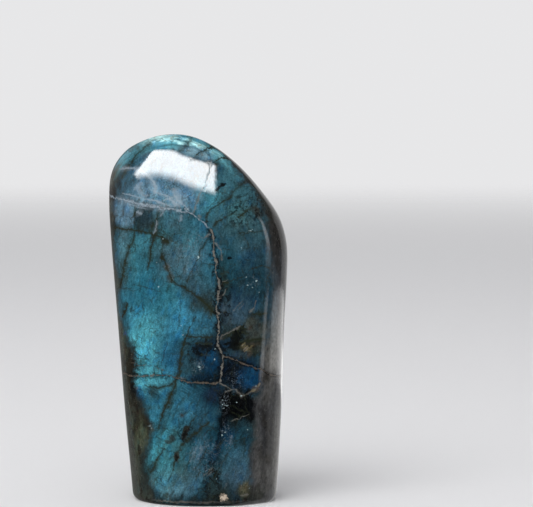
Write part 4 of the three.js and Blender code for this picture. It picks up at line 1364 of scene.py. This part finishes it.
def mirrored_room(pattern):
    """What the polish sees round the stone, as a grey level."""
    direction = pattern.add("ShaderNodeTexCoord", output="Generated")
    x, y, z = pattern.split(direction)
    turn = pattern.math("ARCTAN2", x, pattern.times(y, -1.0))
    azimuth = pattern.math("DEGREES", turn)
    elevation = pattern.math("DEGREES", pattern.math("ARCSINE", z))
    level = DARK_ROOM
    for _, left, right, low, high, brightness in MIRRORED_FIELDS:
        field = brightness
        for value, start, end in ((azimuth, left, right), (elevation, low, high)):
            edge = min(FIELD_EDGE, (end - start) / 4)
            field = pattern.times(field, pattern.remap(value, start - edge, start + edge))
            field = pattern.times(field, pattern.remap(value, end + edge, end - edge))
        level = pattern.plus(field, level)
    return level


def build_room(settings):
    world = bpy.data.worlds.new("pale_room")
    world.use_nodes = True
    bpy.context.scene.world = world
    pattern = Pattern(world.node_tree)
    background = world.node_tree.nodes["Background"]
    rays = world.node_tree.nodes.new("ShaderNodeLightPath").outputs
    room = (*settings.room_colour, 1)
    colour = pattern.blend(rays["Is Glossy Ray"], FILL_LIGHT, mirrored_room(pattern))
    colour = pattern.blend(rays["Is Camera Ray"], colour, room)
    pattern.feed(background.inputs["Color"], colour)
    background.inputs["Strength"].default_value = 1.0


class LABRADORITE_OT_stage(bpy.types.Operator):
    """Set up the pale table, the soft lights, the room and the camera"""
    bl_idname = "labradorite.stage"
    bl_label = "Stage"

    def execute(self, context):
        settings = context.scene.labradorite_stage
        context.scene.view_settings.view_transform = "Standard"
        build_table(settings)
        build_window()
        build_camera(settings)
        build_room(settings)
        area_light("soft_key", *SOFT_KEY)
        return {"FINISHED"}


# Panel and registration

class LABRADORITE_PT_panel(bpy.types.Panel):
    """Lists the pieces and the stage in the sidebar."""
    bl_label = "Labradorite"
    bl_idname = "LABRADORITE_PT_panel"
    bl_space_type = "VIEW_3D"
    bl_region_type = "UI"
    bl_category = "Labradorite"

    def draw(self, context):
        for step in STEPS:
            self.layout.operator(step.bl_idname)


SETTINGS = {
    "labradorite_stone": StoneSettings,
    "labradorite_flash": FlashSettings,
    "labradorite_stage": StageSettings,
}
STEPS = (LABRADORITE_OT_stone, LABRADORITE_OT_stage)
CLASSES = (*SETTINGS.values(), *STEPS, LABRADORITE_PT_panel)


def register():
    for item in CLASSES:
        bpy.utils.register_class(item)
    for name, group in SETTINGS.items():
        setattr(bpy.types.Scene, name, PointerProperty(type=group))


def unregister():
    for name in SETTINGS:
        delattr(bpy.types.Scene, name)
    for item in reversed(CLASSES):
        bpy.utils.unregister_class(item)


def main():
    register()
    bpy.ops.labradorite.stone()
    bpy.ops.labradorite.stage()


if __name__ == "__main__":
    main()
